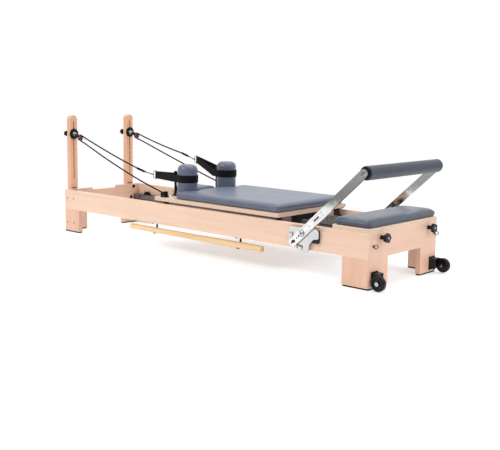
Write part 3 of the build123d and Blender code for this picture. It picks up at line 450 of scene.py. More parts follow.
def joined(name, objects):
    """Several meshes made into one object."""
    target = bmesh.new()
    materials = []
    for source in objects:
        offset = len(materials)
        materials += list(source.data.materials)
        start = len(target.faces)
        source.data.transform(source.matrix_world)
        target.from_mesh(source.data)
        target.faces.ensure_lookup_table()
        for face in target.faces[start:]:
            face.material_index += offset
    mesh = bpy.data.meshes.new(name)
    target.to_mesh(mesh)
    target.free()
    unique = []
    for material in materials:
        if material not in unique:
            unique.append(material)
    lookup = [unique.index(material) for material in materials]
    for material in unique:
        mesh.materials.append(material)
    for polygon in mesh.polygons:
        polygon.material_index = lookup[polygon.material_index]
    made = linked(name, mesh)
    for source in objects:
        bpy.data.objects.remove(source)
    return made


def disc(name, centre, axis, radius, depth, material, bevel=0.0008, sides=40, hole=0.0):
    """A turned disc or ring with softened rims, standing on centre along axis."""
    axis = Vector(axis).normalized()
    side = axis.orthogonal().normalized()
    up = axis.cross(side)
    profile = [(radius - bevel, 0.0), (radius, bevel), (radius, depth - bevel), (radius - bevel, depth)]
    if hole:
        profile = [(hole, 0.0)] + profile + [(hole, depth)]
    vertices = []
    for angle in around(sides):
        spoke = side * math.cos(angle) + up * math.sin(angle)
        vertices += [centre + spoke * r + axis * h for r, h in profile]
    faces = []
    rows = len(profile)
    for k, n in pairs(sides):
        for i in range(rows if hole else rows - 1):
            j = (i + 1) % rows
            faces.append((k * rows + i, n * rows + i, n * rows + j, k * rows + j))
    if not hole:
        faces.append(tuple(k * rows for k in reversed(range(sides))))
        faces.append(tuple(k * rows + rows - 1 for k in range(sides)))
    return new_mesh(name, vertices, faces, material, smooth=False)


# --- carried-over nodes

# Material, edge radius and names of the CAD nodes that are shown as they are. A star stands for each side.
KEPT = (
    (maple_x, 0.0012, "side_rails"),
    (maple_y, 0.0012, "head_panel foot_panel"),
    (maple_y, 0.001, "headrest_board"),
    (maple_z, 0.0012, "legs"),
    (maple_z, 0.001, "corner_blocks"),
    # The posts' darker wood is partly painted shade.
    (post_tone_and_painted_shade, 0.0018, "riser_posts"),
    (pole_wood, 0.0, "pole"),
    (ply, 0.0015, "carriage_board"),
    (ply, 0.0, "platform_board"),
    (black_rubber, 0.001, "rubber_feet"),
    (black_rubber, 0.0015, "track_stops"),
    (black_rubber, 0.0, "ferrules"),
    (tyre_rubber, 0.0, "transport_wheel_*"),
    (black_plastic, 0.002, "foot_knob_* shoulder_base_*"),
    (black_plastic, 0.0015, "post_knob_*"),
    (black_plastic, 0.001, "platform_cleats rope_cleats"),
    (black_plastic, 0.0008, "plate_spacers"),
    (black_plastic, 0.0006, "pole_hooks"),
    (black_plastic, 0.0, "rope_pegs carriage_wheel_head_* carriage_wheel_foot_*"),
    (maroon, 0.0, "sheave_*"),
    (brown_steel, 0.0005, "frame_bolts"),
    (black_steel, 0.0008, "black_fasteners spring_anchor spring_bar wheel_brackets"),
    (black_steel, 0.0006, "pulley_carrier_* lock_pins"),
    (black_steel, 0.0005, "wheel_hangers headrest_hinge"),
    (track_metal, 0.0006, "tracks"),
    (ring_steel, 0.0004, "eye_bolts"),
    (ring_steel, 0.0, "rope_hooks"),
    (polished, 0.0008, "footbar_pivots"),
    (polished, 0.0006, "footbar_plates"),
    (polished, 0.0004, "footbar_tube"),
    (arm_steel, 0.0008, "footbar_arms"),
)
# Round CAD nodes, shaded smooth across their small facets only.
ROUND = (
    "sheave_* rope_pegs rope_hooks transport_wheel_* pole ferrules "
    "carriage_wheel_head_* carriage_wheel_foot_* platform_board"
)
BEVEL_SEGMENTS = 2
BEVEL_ANGLE = 40
SMOOTH_ANGLE = 35


def nodes_named(names):
    """The CAD nodes of a list of names, both of them for a name with a star."""
    patterns = names.split()
    return [NODES[p.replace("*", side)] for p in patterns for side in (SIDES if "*" in p else SIDES[:1])]


def softened(made, width):
    """Rounds an object's sharp edges."""
    modifier = made.modifiers.new("edge", "BEVEL")
    modifier.width = width
    modifier.segments = BEVEL_SEGMENTS
    modifier.limit_method = "ANGLE"
    modifier.angle_limit = math.radians(BEVEL_ANGLE)
    modifier.harden_normals = True


for material, bevel, names in KEPT:
    for made in nodes_named(names):
        made.data.materials.clear()
        made.data.materials.append(material)
        for polygon in made.data.polygons:
            polygon.use_smooth = False
        if bevel:
            softened(made, bevel)

for made in nodes_named(ROUND):
    made.data.polygons.foreach_set("use_smooth", [True] * len(made.data.polygons))
    made.data.set_sharp_from_angle(angle=math.radians(SMOOTH_ANGLE))


# --- cushions

# Lengths in metres. A pad's top falls towards its edges above CROWN_FROM of its height.
CLOTH_VOXEL = 0.006
CLOTH_PRESSURE = 4.0
CLOTH_FRAMES = 20
PAD_SHRINK = 0.003
CROWN_FROM = 0.4
TUCK_DEPTH = 0.0045
TUCK_WIDTH = 0.0035
PLEAT_DEPTH = 0.003
PLEAT_REACH = 0.045
PLEAT_WIDTH = 0.004


def voxelled(made, size):
    """Rebuilds a shape with an even mesh."""
    remesh = made.modifiers.new("voxels", "REMESH")
    remesh.mode = "VOXEL"
    remesh.voxel_size = size
    applied(made)


def inflate(made, cap):
    """Blows a closed shape up a little as cloth, with no point moving further than cap."""
    rest = [v.co.copy() for v in made.data.vertices]
    cloth = made.modifiers.new("cloth", "CLOTH")
    cloth.settings.use_pressure = True
    cloth.settings.uniform_pressure_force = CLOTH_PRESSURE
    cloth.settings.quality = 4
    cloth.settings.effector_weights.gravity = 0
    cloth.settings.tension_stiffness = 12
    cloth.settings.bending_stiffness = 0.8
    cloth.point_cache.frame_start = 1
    cloth.point_cache.frame_end = CLOTH_FRAMES
    for number in range(1, CLOTH_FRAMES + 1):
        bpy.context.scene.frame_set(number)
    applied(made)
    bpy.context.scene.frame_set(1)
    for vertex, start in zip(made.data.vertices, rest):
        move = vertex.co - start
        if move.length > cap:
            vertex.co = start + move.normalized() * cap


def press_sides(made, base, seam):
    """Keeps the underside flat and pulls the side in along a seam, as a darker tucked band."""
    mesh = made.data
    mesh.update()
    normals = [v.normal.copy() for v in mesh.vertices]
    for vertex, normal in zip(mesh.vertices, normals):
        co = vertex.co
        flat = Vector((normal.x, normal.y, 0))
        if flat.length > 0.35 and co.z > base - 0.001:
            groove = math.exp(-((co.z - seam) / TUCK_WIDTH) ** 2)
            below = 1 / (1 + math.exp((co.z - seam) / 0.002))
            co -= flat.normalized() * TUCK_DEPTH * (groove + 0.3 * below)
        co.z = max(co.z, base)


def smoothed(made, levels):
    """Evens a shape out, and subdivides it."""
    smooth = made.modifiers.new("smooth", "SMOOTH")
    smooth.factor = 0.5
    smooth.iterations = 3
    if levels:
        subdivide = made.modifiers.new("subdivide", "SUBSURF")
        subdivide.levels = levels
        subdivide.render_levels = levels
    applied(made)
    made.data.polygons.foreach_set("use_smooth", [True] * len(made.data.polygons))


def copy_of(node, name, material):
    """A CAD soft solid's shape as a new object, a little smaller."""
    made = linked(name, NODES[node].data.copy())
    made.data.materials.clear()
    made.data.materials.append(material)
    low, high, middle = span_of(node)
    size = high - low
    for vertex in made.data.vertices:
        offset = vertex.co - middle
        vertex.co = middle + Vector([offset[i] * (1 - 2 * PAD_SHRINK / size[i]) for i in range(3)])
    return made


def crown(made, node, rise, margin):
    """Lowers the top towards the edges, as filling does under a tight cover."""
    low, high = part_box(node)
    for vertex in made.data.vertices:
        co = vertex.co
        height = (co.z - low.z) / (high.z - low.z)
        if height < CROWN_FROM:
            continue
        keep = 1.0
        for near_edge in (co.x - low.x, high.x - co.x, co.y - low.y, high.y - co.y):
            share = min(1.0, max(0.0, near_edge / margin))
            keep *= math.sqrt(1 - (1 - share) ** 2)
        co.z -= rise * (1 - keep) * min(1.0, (height - CROWN_FROM) / 0.4)


def pleat_corners(made, node):
    """A short crease down each upright corner, where the cover is folded."""
    low, high, middle = span_of(node)
    for vertex in made.data.vertices:
        co = vertex.co
        for x in (low.x, high.x):
            for y in (low.y, high.y):
                away = Vector((co.x - x, co.y - y, 0))
                if away.length > PLEAT_REACH:
                    continue
                inward = Vector((math.copysign(1, middle.x - x), math.copysign(1, middle.y - y), 0))
                inward.normalize()
                across = abs(away.x * inward.y - away.y * inward.x)
                fade = 1 - away.length / PLEAT_REACH
                co += inward * PLEAT_DEPTH * fade * math.exp(-(across / PLEAT_WIDTH) ** 2)


def cushion(node, name, body, cover, rise, margin, cap, seam, grow):
    """A stuffed pad: blown up, crowned, tucked in along its lower edge and pleated at its corners."""
    made = copy_of(node, name, cover)
    low, high, middle = span_of(node)
    voxelled(made, CLOTH_VOXEL)
    inflate(made, cap)
    crown(made, node, rise, margin)
    size = high - low
    for vertex in made.data.vertices:
        for axis in (0, 1):
            vertex.co[axis] += (vertex.co[axis] - middle[axis]) * 2 * grow / size[axis]
    smoothed(made, 1)
    press_sides(made, low.z, low.z + seam)
    pleat_corners(made, node)
    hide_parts(node)
    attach(made, body)


cushion("carriage_pad", "carriage_cushion", "carriage", blue_leather,
        rise=0.009, margin=0.05, cap=0.006, seam=0.019, grow=0.003)
# The platform pad's darker leather is painted shade.
cushion("platform_pad", "platform_cushion", "platform", leather_painted_shade,
        rise=0.014, margin=0.075, cap=0.006, seam=0.014, grow=0.006)
cushion("headrest_pad", "headrest_cushion", "headrest", blue_leather,
        rise=0.006, margin=0.04, cap=0.004, seam=0.012, grow=0.0)


def shoulder_cushion(side):
    """Turned upholstered block: domed top, straight sides, rolled lower edge, and a seam round it."""
    node = "shoulder_pad_" + side
    low, high, centre = span_of(node)
    radius = (high.x - low.x) / 2
    dome = 0.034
    lower = 0.006
    profile = [(0.0, high.z)]
    for i in range(1, 13):
        angle = math.pi / 2 * i / 12
        profile.append((radius - dome + dome * math.sin(angle), high.z - dome + dome * math.cos(angle)))
    straight = high.z - dome - lower - low.z
    for i in range(1, 24):
        z = high.z - dome - straight * i / 24
        bulge = 0.0012 * math.sin(math.pi * i / 24)
        profile.append((radius - 0.001 + bulge, z))
    for i in range(0, 7):
        angle = math.pi / 2 * i / 6
        profile.append((radius - lower + lower * math.cos(angle), low.z + lower - lower * math.sin(angle)))
    profile.append((0.0, low.z))
    sides = 72
    vertices = [Vector((centre.x, centre.y, high.z))]
    for r, z in profile[1:-1]:
        for angle in around(sides):
            x, y = math.cos(angle), math.sin(angle)
            reach = r + 0.0005 * noise.noise(Vector((3 * x, 3 * y, z * 40)))
            vertices.append(Vector((centre.x + reach * x, centre.y + reach * y, z)))
    vertices.append(Vector((centre.x, centre.y, low.z)))
    rows = len(profile) - 2
    faces = [(0, 1 + k, 1 + n) for k, n in pairs(sides)]
    for i in range(rows - 1):
        for k, n in pairs(sides):
            a, b = 1 + i * sides + k, 1 + i * sides + n
            faces.append((a, a + sides, b + sides, b))
    last = len(vertices) - 1
    start = 1 + (rows - 1) * sides
    faces += [(last, start + n, start + k) for k, n in pairs(sides)]
    made = new_mesh("shoulder_cushion_" + side, vertices, faces, blue_leather)
    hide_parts(node)
    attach(made, "shoulder_rest_" + side)
    reach = radius - 0.0006
    ring = [
        Vector((centre.x + reach * math.cos(angle), centre.y + reach * math.sin(angle), high.z - dome))
        for angle in around(96)
    ]
    seam = tube("shoulder_seam_" + side, ring, 0.0013, blue_leather, 8, closed=True)
    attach(seam, "shoulder_rest_" + side)


for side in SIDES:
    shoulder_cushion(side)


# The foam sleeve is this much longer at each end than the CAD's, and its ends are rounded by FOAM_ROUND.
FOAM_EXTRA = 0.004
FOAM_ROUND = 0.005


def footbar_grip():
    """Foam sleeve with slightly rounded ends, and a thin black washer at each end of it."""
    low, high, centre = span_of("footbar_foam")
    radius = (high.z - low.z) / 2
    count = 120
    points = []
    radii = []
    for i in range(count + 1):
        t = i / count
        y = low.y - FOAM_EXTRA + (high.y - low.y + 2 * FOAM_EXTRA) * (t - math.sin(2 * math.pi * t) / 7)
        edge = min(y - low.y + FOAM_EXTRA, high.y + FOAM_EXTRA - y)
        ease = math.sqrt(max(0.0, 1 - (1 - min(1.0, edge / FOAM_ROUND)) ** 2))
        points.append(Vector((centre.x, y, centre.z)))
        radii.append(radius - FOAM_ROUND + FOAM_ROUND * ease)
    made = tube("footbar_grip", points, radius, bar_foam, 64, radii=radii)
    made.data.set_sharp_from_angle(angle=math.radians(50))
    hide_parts("footbar_foam")
    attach(made, "footbar")
    thick = low.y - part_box("footbar_caps")[0].y - FOAM_EXTRA
    washers = []
    for y, out in ((low.y - FOAM_EXTRA, -1), (high.y + FOAM_EXTRA, 1)):
        place = Vector((centre.x, y, centre.z))
        washer = disc("washer", place, (0, out, 0), radius - 0.0035, thick, black_plastic, 0.0014, 64)
        washers.append(washer)
    caps = joined("footbar_end_caps", washers)
    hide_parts("footbar_caps")
    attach(caps, "footbar")


footbar_grip()


# --- hand straps

# In millimetres: the shoulder rests' middles, the strap loop's radius there and round the ring's bar, the
# webbing's half width and half thickness, and how far from the rest the loop starts to climb to the ring.
REST_X = -203.0
REST_Y = 175.0
LOOP_R = 64.8
BAR_R = 4.2
STRAP_HALF = 22.5
STRAP_THICK = 1.4
STRAP_BEND = 72.0


def strap_line(ring_x, ring_y, rest_y):
    """Points in millimetres round the shoulder rest and the ring's bar, as a tight belt."""
    big = Vector((REST_X, rest_y))
    small = Vector((ring_x, ring_y))
    gap = small - big
    bearing = math.atan2(gap.y, gap.x)
    spread = math.acos((LOOP_R - BAR_R) / gap.length)
    line = []
    turns = 2 * math.pi - 2 * spread
    steps = 150
    for i in range(steps + 1):
        angle = bearing + spread + turns * i / steps
        line.append(big + Vector((math.cos(angle), math.sin(angle))) * LOOP_R)
    start = line[-1]
    bend = small + Vector((math.cos(bearing - spread), math.sin(bearing - spread))) * BAR_R
    for i in range(1, 40):
        line.append(start.lerp(bend, i / 40))
    for i in range(13):
        angle = bearing - spread + 2 * spread * i / 12
        line.append(small + Vector((math.cos(angle), math.sin(angle))) * BAR_R)
    last = line[-1]
    for i in range(1, 40):
        line.append(last.lerp(line[0], i / 40))
    return line


def hand_strap(side, ring, loop_z):
    """A webbing loop with softened edges and a slight ripple, riding on the carriage."""
    line = strap_line(ring[0], ring[1], OUTWARD[side] * REST_Y)
    bend = REST_X - STRAP_BEND

    def middle(x):
        if x >= bend:
            return loop_z
        share = (x - bend) / (ring[0] + 6 - bend)
        return loop_z + (ring[2] - loop_z) * min(1.0, share)

    rows = 12
    section = []
    for i in range(rows + 1):
        h = -1 + 2 * i / rows
        round_off = math.sqrt(max(0.0, 1 - (max(0.0, abs(h) - 0.93) / 0.07) ** 2))
        section.append((h, STRAP_THICK * (0.35 + 0.65 * round_off)))
    outline = section + [(h, -t) for h, t in reversed(section)]
    count = len(line)
    vertices = []
    for i, point in enumerate(line):
        direction = (line[(i + 1) % count] - line[i - 1]).normalized()
        outward = Vector((direction.y, -direction.x))
        z = middle(point.x)
        for h, t in outline:
            place = point + outward * t
            ripple = 0.35 * math.sin(i * 0.21) * h
            x, y = place.x + outward.x * ripple, place.y + outward.y * ripple
            vertices.append(at(x, y, z + h * STRAP_HALF))
    faces = []
    wide = len(outline)
    for i, j in pairs(count):
        for k, n in pairs(wide):
            faces.append((i * wide + k, j * wide + k, j * wide + n, i * wide + n))
    made = new_mesh("hand_strap_" + side, vertices, faces, black_webbing)
    lengths = lengths_along(line, MM)
    layer = made.data.uv_layers.new(name="weave")
    across = [h * STRAP_HALF * MM for h, t in outline]
    for index, polygon in enumerate(made.data.polygons):
        i, k = divmod(index, wide)
        corners = ((i, k), (i + 1, k), (i + 1, (k + 1) % wide), (i, (k + 1) % wide))
        for loop, (a, b) in zip(polygon.loop_indices, corners):
            layer.data[loop].uv = (lengths[a], across[b])
    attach(made, "carriage")
    return made


near_strap = hand_strap("near", (-474.0, -190.0, 438.0), 435.0)
hand_strap("far", (-474.0, 175.0, 516.0), 448.0)
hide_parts("hand_straps")


# --- ropes

ROPE_D = 0.009

# The ropes' routes in millimetres, from the cleat to the pulley, round it, and down to the strap's ferrule.
# At CUTS its lower and upper strands end.
CUTS = (6, 14)
NEAR_ROPE = (
    (-306.0, -292.0, 348.5), (-415.0, -287.0, 375.0), (-520.0, -282.0, 403.0), (-625.0, -278.0, 434.0),
    (-730.0, -273.0, 467.5), (-840.0, -268.0, 504.0), (-950.0, -263.0, 542.0), (-1050.0, -258.0, 579.0),
    (-1131.0, -254.0, 608.5), (-1191.2, -252.0, 626.7), (-1196.9, -252.0, 648.2), (-1179.1, -252.0, 663.3),
    (-1136.0, -248.1, 645.0), (-1040.0, -239.4, 607.5), (-940.0, -230.2, 569.8), (-840.0, -221.1, 533.6),
    (-740.0, -212.0, 499.9), (-641.0, -203.0, 468.4),
)
FAR_ROPE = (
    (-306.0, 292.0, 346.0), (-415.0, 287.5, 376.0), (-525.0, 282.5, 409.8), (-640.0, 277.4, 446.3),
    (-755.0, 272.2, 483.7), (-870.0, 266.9, 521.9), (-985.0, 261.5, 560.6), (-1060.0, 257.9, 586.2),
    (-1131.0, 254.5, 610.5), (-1190.5, 252.0, 626.0), (-1197.2, 252.0, 646.6), (-1181.5, 252.0, 662.9),
    (-1136.0, 247.0, 651.2), (-1040.0, 236.2, 628.0), (-940.0, 225.0, 605.8), (-840.0, 213.8, 585.3),
    (-738.0, 202.5, 566.4), (-635.0, 191.0, 549.4),
)


def spline_points(points):
    """Points read from a smooth NURBS line whose control points are the route's points."""
    curve = bpy.data.curves.new("route", "CURVE")
    curve.dimensions = "3D"
    spline = curve.splines.new("NURBS")
    spline.points.add(len(points) - 1)
    for control, point in zip(spline.points, points):
        control.co = (*point, 1)
    spline.order_u = min(3, len(points))
    spline.use_endpoint_u = True
    spline.resolution_u = 24
    holder = linked("route", curve)
    graph = bpy.context.evaluated_depsgraph_get()
    mesh = bpy.data.meshes.new_from_object(holder.evaluated_get(graph))
    line = [v.co.copy() for v in mesh.vertices]
    bpy.data.objects.remove(holder)
    bpy.data.meshes.remove(mesh)
    return line


def rope_piece(name, line):
    """One length of rope along a line."""
    made = tube(name, line, ROPE_D / 2, black_braid, 12)
    return made


def nearest(line, point):
    """The number of the line's point that lies nearest to a point."""
    return min(range(len(line)), key=lambda i: (line[i] - point).length)


def rope(side, route):
    """One rope in three lengths: cleat to pulley, round the pulley, and pulley to strap."""
    points = [at(*point) for point in route]
    line = spline_points(points)
    lower_joint, upper_joint = (points[cut] for cut in CUTS)
    first_cut = nearest(line, lower_joint)
    second_cut = nearest(line, upper_joint)
    first = rope_piece(f"rope_lower_{side}", line[:first_cut + 1])
    second = rope_piece(f"rope_wrap_{side}", line[first_cut:second_cut + 1])
    third = rope_piece(f"rope_upper_{side}", line[second_cut:])
    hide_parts("rope_" + side)
    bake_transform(first)
    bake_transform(second)
    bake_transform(third)


rope("near", NEAR_ROPE)
rope("far", FAR_ROPE)


# --- springs

def coil_spring(index, y):
    """A close-wound spring with a hook at both ends, stretching between the bar and the carriage."""
    low, high, centre = span_of("springs")
    z = centre.z
    wire = 0.0017
    radius = (high.z - low.z) / 2 - wire
    hook = 0.008
    shank = 0.002
    start = low.x + 2 * hook + shank
    end = high.x - 2 * hook - shank
    turns = 62
    steps = 16
    line = []
    for i in range(9):
        angle = math.pi + math.pi * 1.4 * i / 8
        line.append(Vector((low.x + hook + shank + hook * math.cos(angle), y + hook * math.sin(angle), z)))
    for i in range(turns * steps + 1):
        t = i / (turns * steps)
        angle = 2 * math.pi * turns * t
        x = start + (end - start) * t
        line.append(Vector((x, y + radius * math.cos(angle), z + radius * math.sin(angle))))
    for i in range(9):
        angle = math.pi * 0.6 * (1 - i / 8) - math.pi * 0.6 * (i / 8)
        line.append(Vector((high.x - hook - shank + hook * math.cos(angle), y + hook * math.sin(angle), z)))
    made = tube(f"spring_{index}", line, wire, spring_wire, 7)
    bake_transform(made)
    return made


SPRING_PLACES = (-0.12, -0.06, 0.0, 0.06, 0.12)
made_springs = [coil_spring(i + 1, y) for i, y in enumerate(SPRING_PLACES)]
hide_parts("springs")


# --- small pieces

# How far from the machine's middle a transport wheel's axle has its head and its nut.
AXLE_HEAD_Y = 0.3382
AXLE_NUT_Y = 0.2955
HUB_SCREWS = 5
HUB_SCREW_RING = 0.0215
HUB_RECESS = 0.0046


def transport_hub(side):
    """Bright head and nut of a transport wheel's axle, and the small screws of its hub."""
    low, high, centre = span_of("transport_wheel_" + side)
    out = OUTWARD[side]
    head = Vector((centre.x, out * AXLE_HEAD_Y, centre.z))
    nut = Vector((centre.x, out * AXLE_NUT_Y, centre.z))
    ends = [
        disc("head", head, (0, out, 0), 0.0105, 0.0045, polished, 0.0014, hole=0.0030),
        # Painted shade: a black hexagon fills the axle head's socket hole.
        disc("socket", head, (0, out, 0), 0.0030, 0.0036, dark_marks_and_painted_shade, 0.0003, 6),
        disc("nut", nut, (0, -out, 0), 0.0090, 0.0040, polished, 0.0008, 6),
    ]
    axle = joined("axle_ends_" + side, ends)
    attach(axle, "frame")
    face = low.y if side == "near" else high.y
    screws = []
    for angle in around(HUB_SCREWS, 0.3):
        spot = Vector((centre.x, face - out * HUB_RECESS, centre.z))
        spot += Vector((math.cos(angle), 0, math.sin(angle))) * HUB_SCREW_RING
        screws.append(disc("screw", spot, (0, out, 0), 0.0016, 0.0010, ring_steel, 0.0003, 12))
    ring = joined("hub_screws_" + side, screws)
    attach(ring, "transport_wheel_" + side)


def knob_screw(side):
    """Bright screw in the middle of a foot knob."""
    high, centre = span_of("foot_knob_" + side)[1:]
    place = Vector((high.x - 0.001, centre.y, centre.z))
    screw = disc("knob_screw_" + side, place, (1, 0, 0), 0.005, 0.0018, polished, 0.0006)
    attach(screw, "foot_knob_" + side)


# In millimetres: the posts' outer face, and a clamp plate's place on it.
HEAD_FACE = -1250.0
PLATE_Y = 250.0
PLATE_Z = 664.0
# The swivel's turned outline: share of the way from plate to ball, and radius in millimetres.
NECK = ((0.0, 15.0), (0.06, 15.6), (0.24, 15.6), (0.32, 14.4), (0.40, 7.0), (0.62, 6.0), (0.72, 7.4))
BALL_R = 8.4
# Half the width over a pulley's cheeks, in metres.
CHEEK_Y = 0.0101


def swivel(side):
    """Bright nut, turned neck and ball between a clamp plate and its pulley."""
    out = OUTWARD[side]
    start = at(HEAD_FACE + 6, out * PLATE_Y, PLATE_Z)
    ball = at(HEAD_FACE + 30, out * (PLATE_Y + 1), PLATE_Z - 3)
    profile = list(NECK)
    for k in range(3, 12):
        angle = math.pi * k / 12
        profile.append((1 - 0.3 * math.cos(angle), BALL_R * math.sin(angle) + 0.6))
    points = [start.lerp(ball, t) for t, r in profile]
    radii = [r * MM for t, r in profile]
    made = tube("pulley_swivel_" + side, points, radii[0], polished, 32, radii=radii)
    made.data.set_sharp_from_angle(angle=math.radians(40))
    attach(made, "pulley_" + side)
    centre = span_of("sheave_" + side)[2]
    for end in (-1, 1):
        place = Vector((centre.x, centre.y + end * CHEEK_Y, centre.z))
        cap = disc(f"axle_cap_{side}_{end + 1}", place, (0, end, 0), 0.0055, 0.0015, polished, 0.0005, 24)
        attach(cap, "pulley_" + side)


for side in SIDES:
    transport_hub(side)
    knob_screw(side)
    swivel(side)


# The footbar's pivot and the middle of its grip, in millimetres, and its arms' outer face, in metres.
PIVOT_X, PIVOT_Z = 850, 245
GRIP_X, GRIP_Z = 1224, 587
PIVOT = at(PIVOT_X, 0, PIVOT_Z)
ARM_ANGLE = math.atan2(GRIP_Z - PIVOT_Z, GRIP_X - PIVOT_X)
ARM_FACE = 0.370


def on_arm(radius, offset, y):
    """A point on an arm's face: along it from the pivot, and across it."""
    along = Vector((math.cos(ARM_ANGLE), 0, math.sin(ARM_ANGLE)))
    across = Vector((-math.sin(ARM_ANGLE), 0, math.cos(ARM_ANGLE)))
    place = PIVOT + along * radius * MM + across * offset * MM
    return Vector((place.x, y, place.z))


def bar_mark(r, offset, length, width, y, out, turn=0.0):
    """A thin dark bar on an arm's face."""
    along = Vector((math.cos(ARM_ANGLE + turn), 0, math.sin(ARM_ANGLE + turn)))
    across = Vector((-along.z, 0, along.x))
    centre = on_arm(r, offset, y)
    vertices = []
    for lift in (-0.0002, 0.0003):
        for a, c in ((-1, -1), (1, -1), (1, 1), (-1, 1)):
            edge = along * a * length / 2 * MM + across * c * width / 2 * MM
            vertices.append(centre + edge + Vector((0, out * lift, 0)))
    faces = [(0, 1, 2, 3), (7, 6, 5, 4), (0, 4, 5, 1), (1, 5, 6, 2), (2, 6, 7, 3), (3, 7, 4, 0)]
    return new_mesh("mark", vertices, faces, dark_marks_and_painted_shade, smooth=False)


def arm_details(side):
    """A dark bar in the adjusting slot and dark discs in the end hole and in the screw and pivot sockets,
    all painted shade; thin dark lines beside the slot, dark marks round the pivot, and bright screws.
    """
    out = OUTWARD[side]
    y = out * ARM_FACE
    # Painted shade: a black bar sunk into the adjusting slot.
    marks = [bar_mark(127, 0, 40, 9, y - out * 0.0022, out)]
    for offset in (-11, 11):
        marks.append(bar_mark(127, offset, 70, 1.1, y, out))
    for offset in (-9, 9):
        marks.append(bar_mark(177, offset, 6, 4, y, out))
        marks.append(bar_mark(168, offset, 2.0, 7, y, out))
    for offset in (-15, 15):
        marks.append(bar_mark(38, offset, 54, 1.0, y, out))
    marks.append(bar_mark(-23, 0, 13, 8, y, out, 0.9))
    axis = (0, out, 0)
    marks.append(disc("crescent", on_arm(2, 0, y), axis, 0.0185, 0.0008, dark_marks_and_painted_shade, 0.0002, hole=0.0155))
    # Painted shade: a black disc where the end hole is.
    marks.append(disc("end_hole", on_arm(-41, 0, y), axis, 0.0042, 0.0006, dark_marks_and_painted_shade, 0.0002, 20))
    arm_marks_and_shade = joined("arm_marks_" + side, marks)
    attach(arm_marks_and_shade, "footbar")
    screws = []
    for r in (496, 517):
        place = on_arm(r, 0, y)
        screws.append(disc("screw", place, axis, 0.0065, 0.0028, polished, 0.0009, 32, hole=0.0028))
        # Painted shade: a black disc fills each screw's socket hole.
        screws.append(disc("socket", place, axis, 0.0028, 0.0010, dark_marks_and_painted_shade, 0.0002, 12))
    # Painted shade: a black disc for the pivot's socket.
    socket = on_arm(0, 0, out * (ARM_FACE + 0.006))
    screws.append(disc("pivot_socket", socket, axis, 0.0058, 0.0006, dark_marks_and_painted_shade, 0.0002, 24))
    heads = joined("arm_screws_" + side, screws)
    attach(heads, "footbar")


for side in SIDES:
    arm_details(side)


# --- stage

FLOOR_REACH = ((-2.6, -2.8), (3.2, 2.6))
FLOOR_GLOW = 0.46
WHITE = (1, 1, 1)
# Grey of the room by height, from straight down at 0 to straight up at 1.
ROOM = (
    (0.0, 0.06), (0.36, 0.10), (0.436, 0.20), (0.453, 0.52),
    (0.49, 0.16), (0.56, 0.30), (0.66, 0.80), (1.0, 0.9),
)
# Where the white backdrop stands, which mirrors see too.
BACKDROP_SIDE = (-0.66, 0.75, 0)


def floor():
    """A white floor with a faint glow, so that it fades into the backdrop."""
    shader = Shader("floor")
    speck = shader.noise(shader.coords(), 3.0, 3, 0.5)
    colour = shader.ramp(speck, (0.0, (0.62, 0.625, 0.635)), (1.0, (0.65, 0.655, 0.665)))
    glow = {"Emission_Color": (*WHITE, 1), "Emission_Strength": FLOOR_GLOW}
    shader.finish(colour, 0.9, Specular_IOR_Level=0.0, **glow)
    (x0, y0), (x1, y1) = FLOOR_REACH
    corners = [(x0, y0, 0), (x1, y0, 0), (x1, y1, 0), (x0, y1, 0)]
    made = new_mesh("floor", corners, [(0, 1, 2, 3)], shader.material, smooth=False)


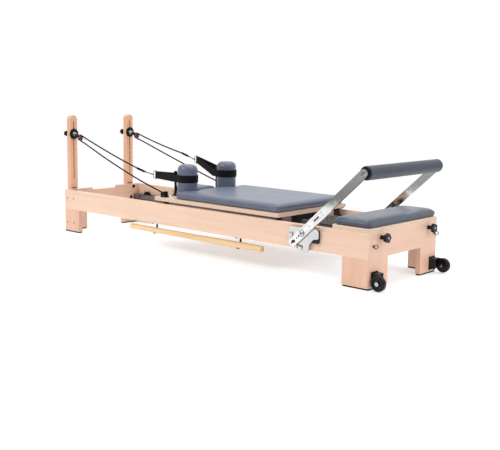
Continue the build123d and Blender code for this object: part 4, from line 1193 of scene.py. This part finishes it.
def backdrop():
    """White behind the object as the camera sees it; mirrors see a darker room on the other sides."""
    world = bpy.data.worlds.new("studio")
    world.use_nodes = True
    sky = Nodes(world.node_tree)
    direction = sky.node("ShaderNodeTexCoord").outputs["Generated"]
    split = sky.node("ShaderNodeSeparateXYZ")
    sky.link(direction, split.inputs[0])
    height = sky.remap(split.outputs["Z"], -1, 1, 0, 1)
    room = sky.ramp(height, *[(place, (grey, grey, grey)) for place, grey in ROOM])
    toward = sky.node("ShaderNodeVectorMath", operation="DOT_PRODUCT")
    toward.inputs[1].default_value = BACKDROP_SIDE
    sky.link(direction, toward.inputs[0])
    wall = sky.remap(toward.outputs["Value"], 0.05, 0.5, 0, 1)
    mirrored = sky.mix(wall, room, WHITE)
    seen = sky.node("ShaderNodeLightPath").outputs["Is Camera Ray"]
    background = sky.tree.nodes["Background"]
    sky.link(sky.mix(seen, mirrored, WHITE), background.inputs["Color"])
    background.inputs["Strength"].default_value = 1.0
    bpy.context.scene.world = world


def lamp(name, place, target, size, power):
    """A rectangular softbox of size metres and power watts, facing target."""
    light = bpy.data.lights.new(name, "AREA")
    light.shape = "RECTANGLE"
    light.size = size[0]
    light.size_y = size[1]
    light.energy = power
    made = linked(name, light)
    made.location = place
    made.rotation_euler = (Vector(target) - Vector(place)).to_track_quat("-Z", "Y").to_euler()


# The photograph's camera, as fitted to the frame's corners.
CAMERA_PLACE = at(3530.8, -3807.3, 980.5)
CAMERA_YAW = math.radians(41.516)
CAMERA_PITCH = math.radians(7.389)
CAMERA_ROLL = math.radians(0.921)
FOCAL_PIXELS = 845.06
IMAGE_WIDTH = 500
SENSOR = 36.0
LENS_SHIFT = -0.05


def camera():
    """The camera, aimed by yaw, pitch and roll."""
    back = Vector((
        math.sin(CAMERA_YAW) * math.cos(CAMERA_PITCH),
        -math.cos(CAMERA_YAW) * math.cos(CAMERA_PITCH),
        math.sin(CAMERA_PITCH),
    ))
    right = Vector((math.cos(CAMERA_YAW), math.sin(CAMERA_YAW), 0))
    up = back.cross(right)
    side = right * math.cos(CAMERA_ROLL) + up * math.sin(CAMERA_ROLL)
    top = up * math.cos(CAMERA_ROLL) - right * math.sin(CAMERA_ROLL)
    data = bpy.data.cameras.new("photo_camera")
    data.sensor_width = SENSOR
    data.lens = FOCAL_PIXELS * SENSOR / IMAGE_WIDTH
    data.shift_y = LENS_SHIFT
    data.clip_end = 100
    made = linked("photo_camera", data)
    turn = Matrix((side, top, back)).transposed().to_4x4()
    made.matrix_world = Matrix.Translation(CAMERA_PLACE) @ turn
    bpy.context.scene.camera = made


floor()
backdrop()
lamp("key", (-1.2, -3.6, 3.4), (0, 0, 0.2), (2.6, 1.6), 76)
lamp("foot_light", (2.7, 0.1, 1.2), (1.25, 0, 0.2), (1.0, 1.0), 10)
lamp("top", (0.2, 0.8, 3.8), (0, 0, 0), (3.6, 2.2), 60)
camera()
bpy.context.scene.view_settings.view_transform = "Standard"
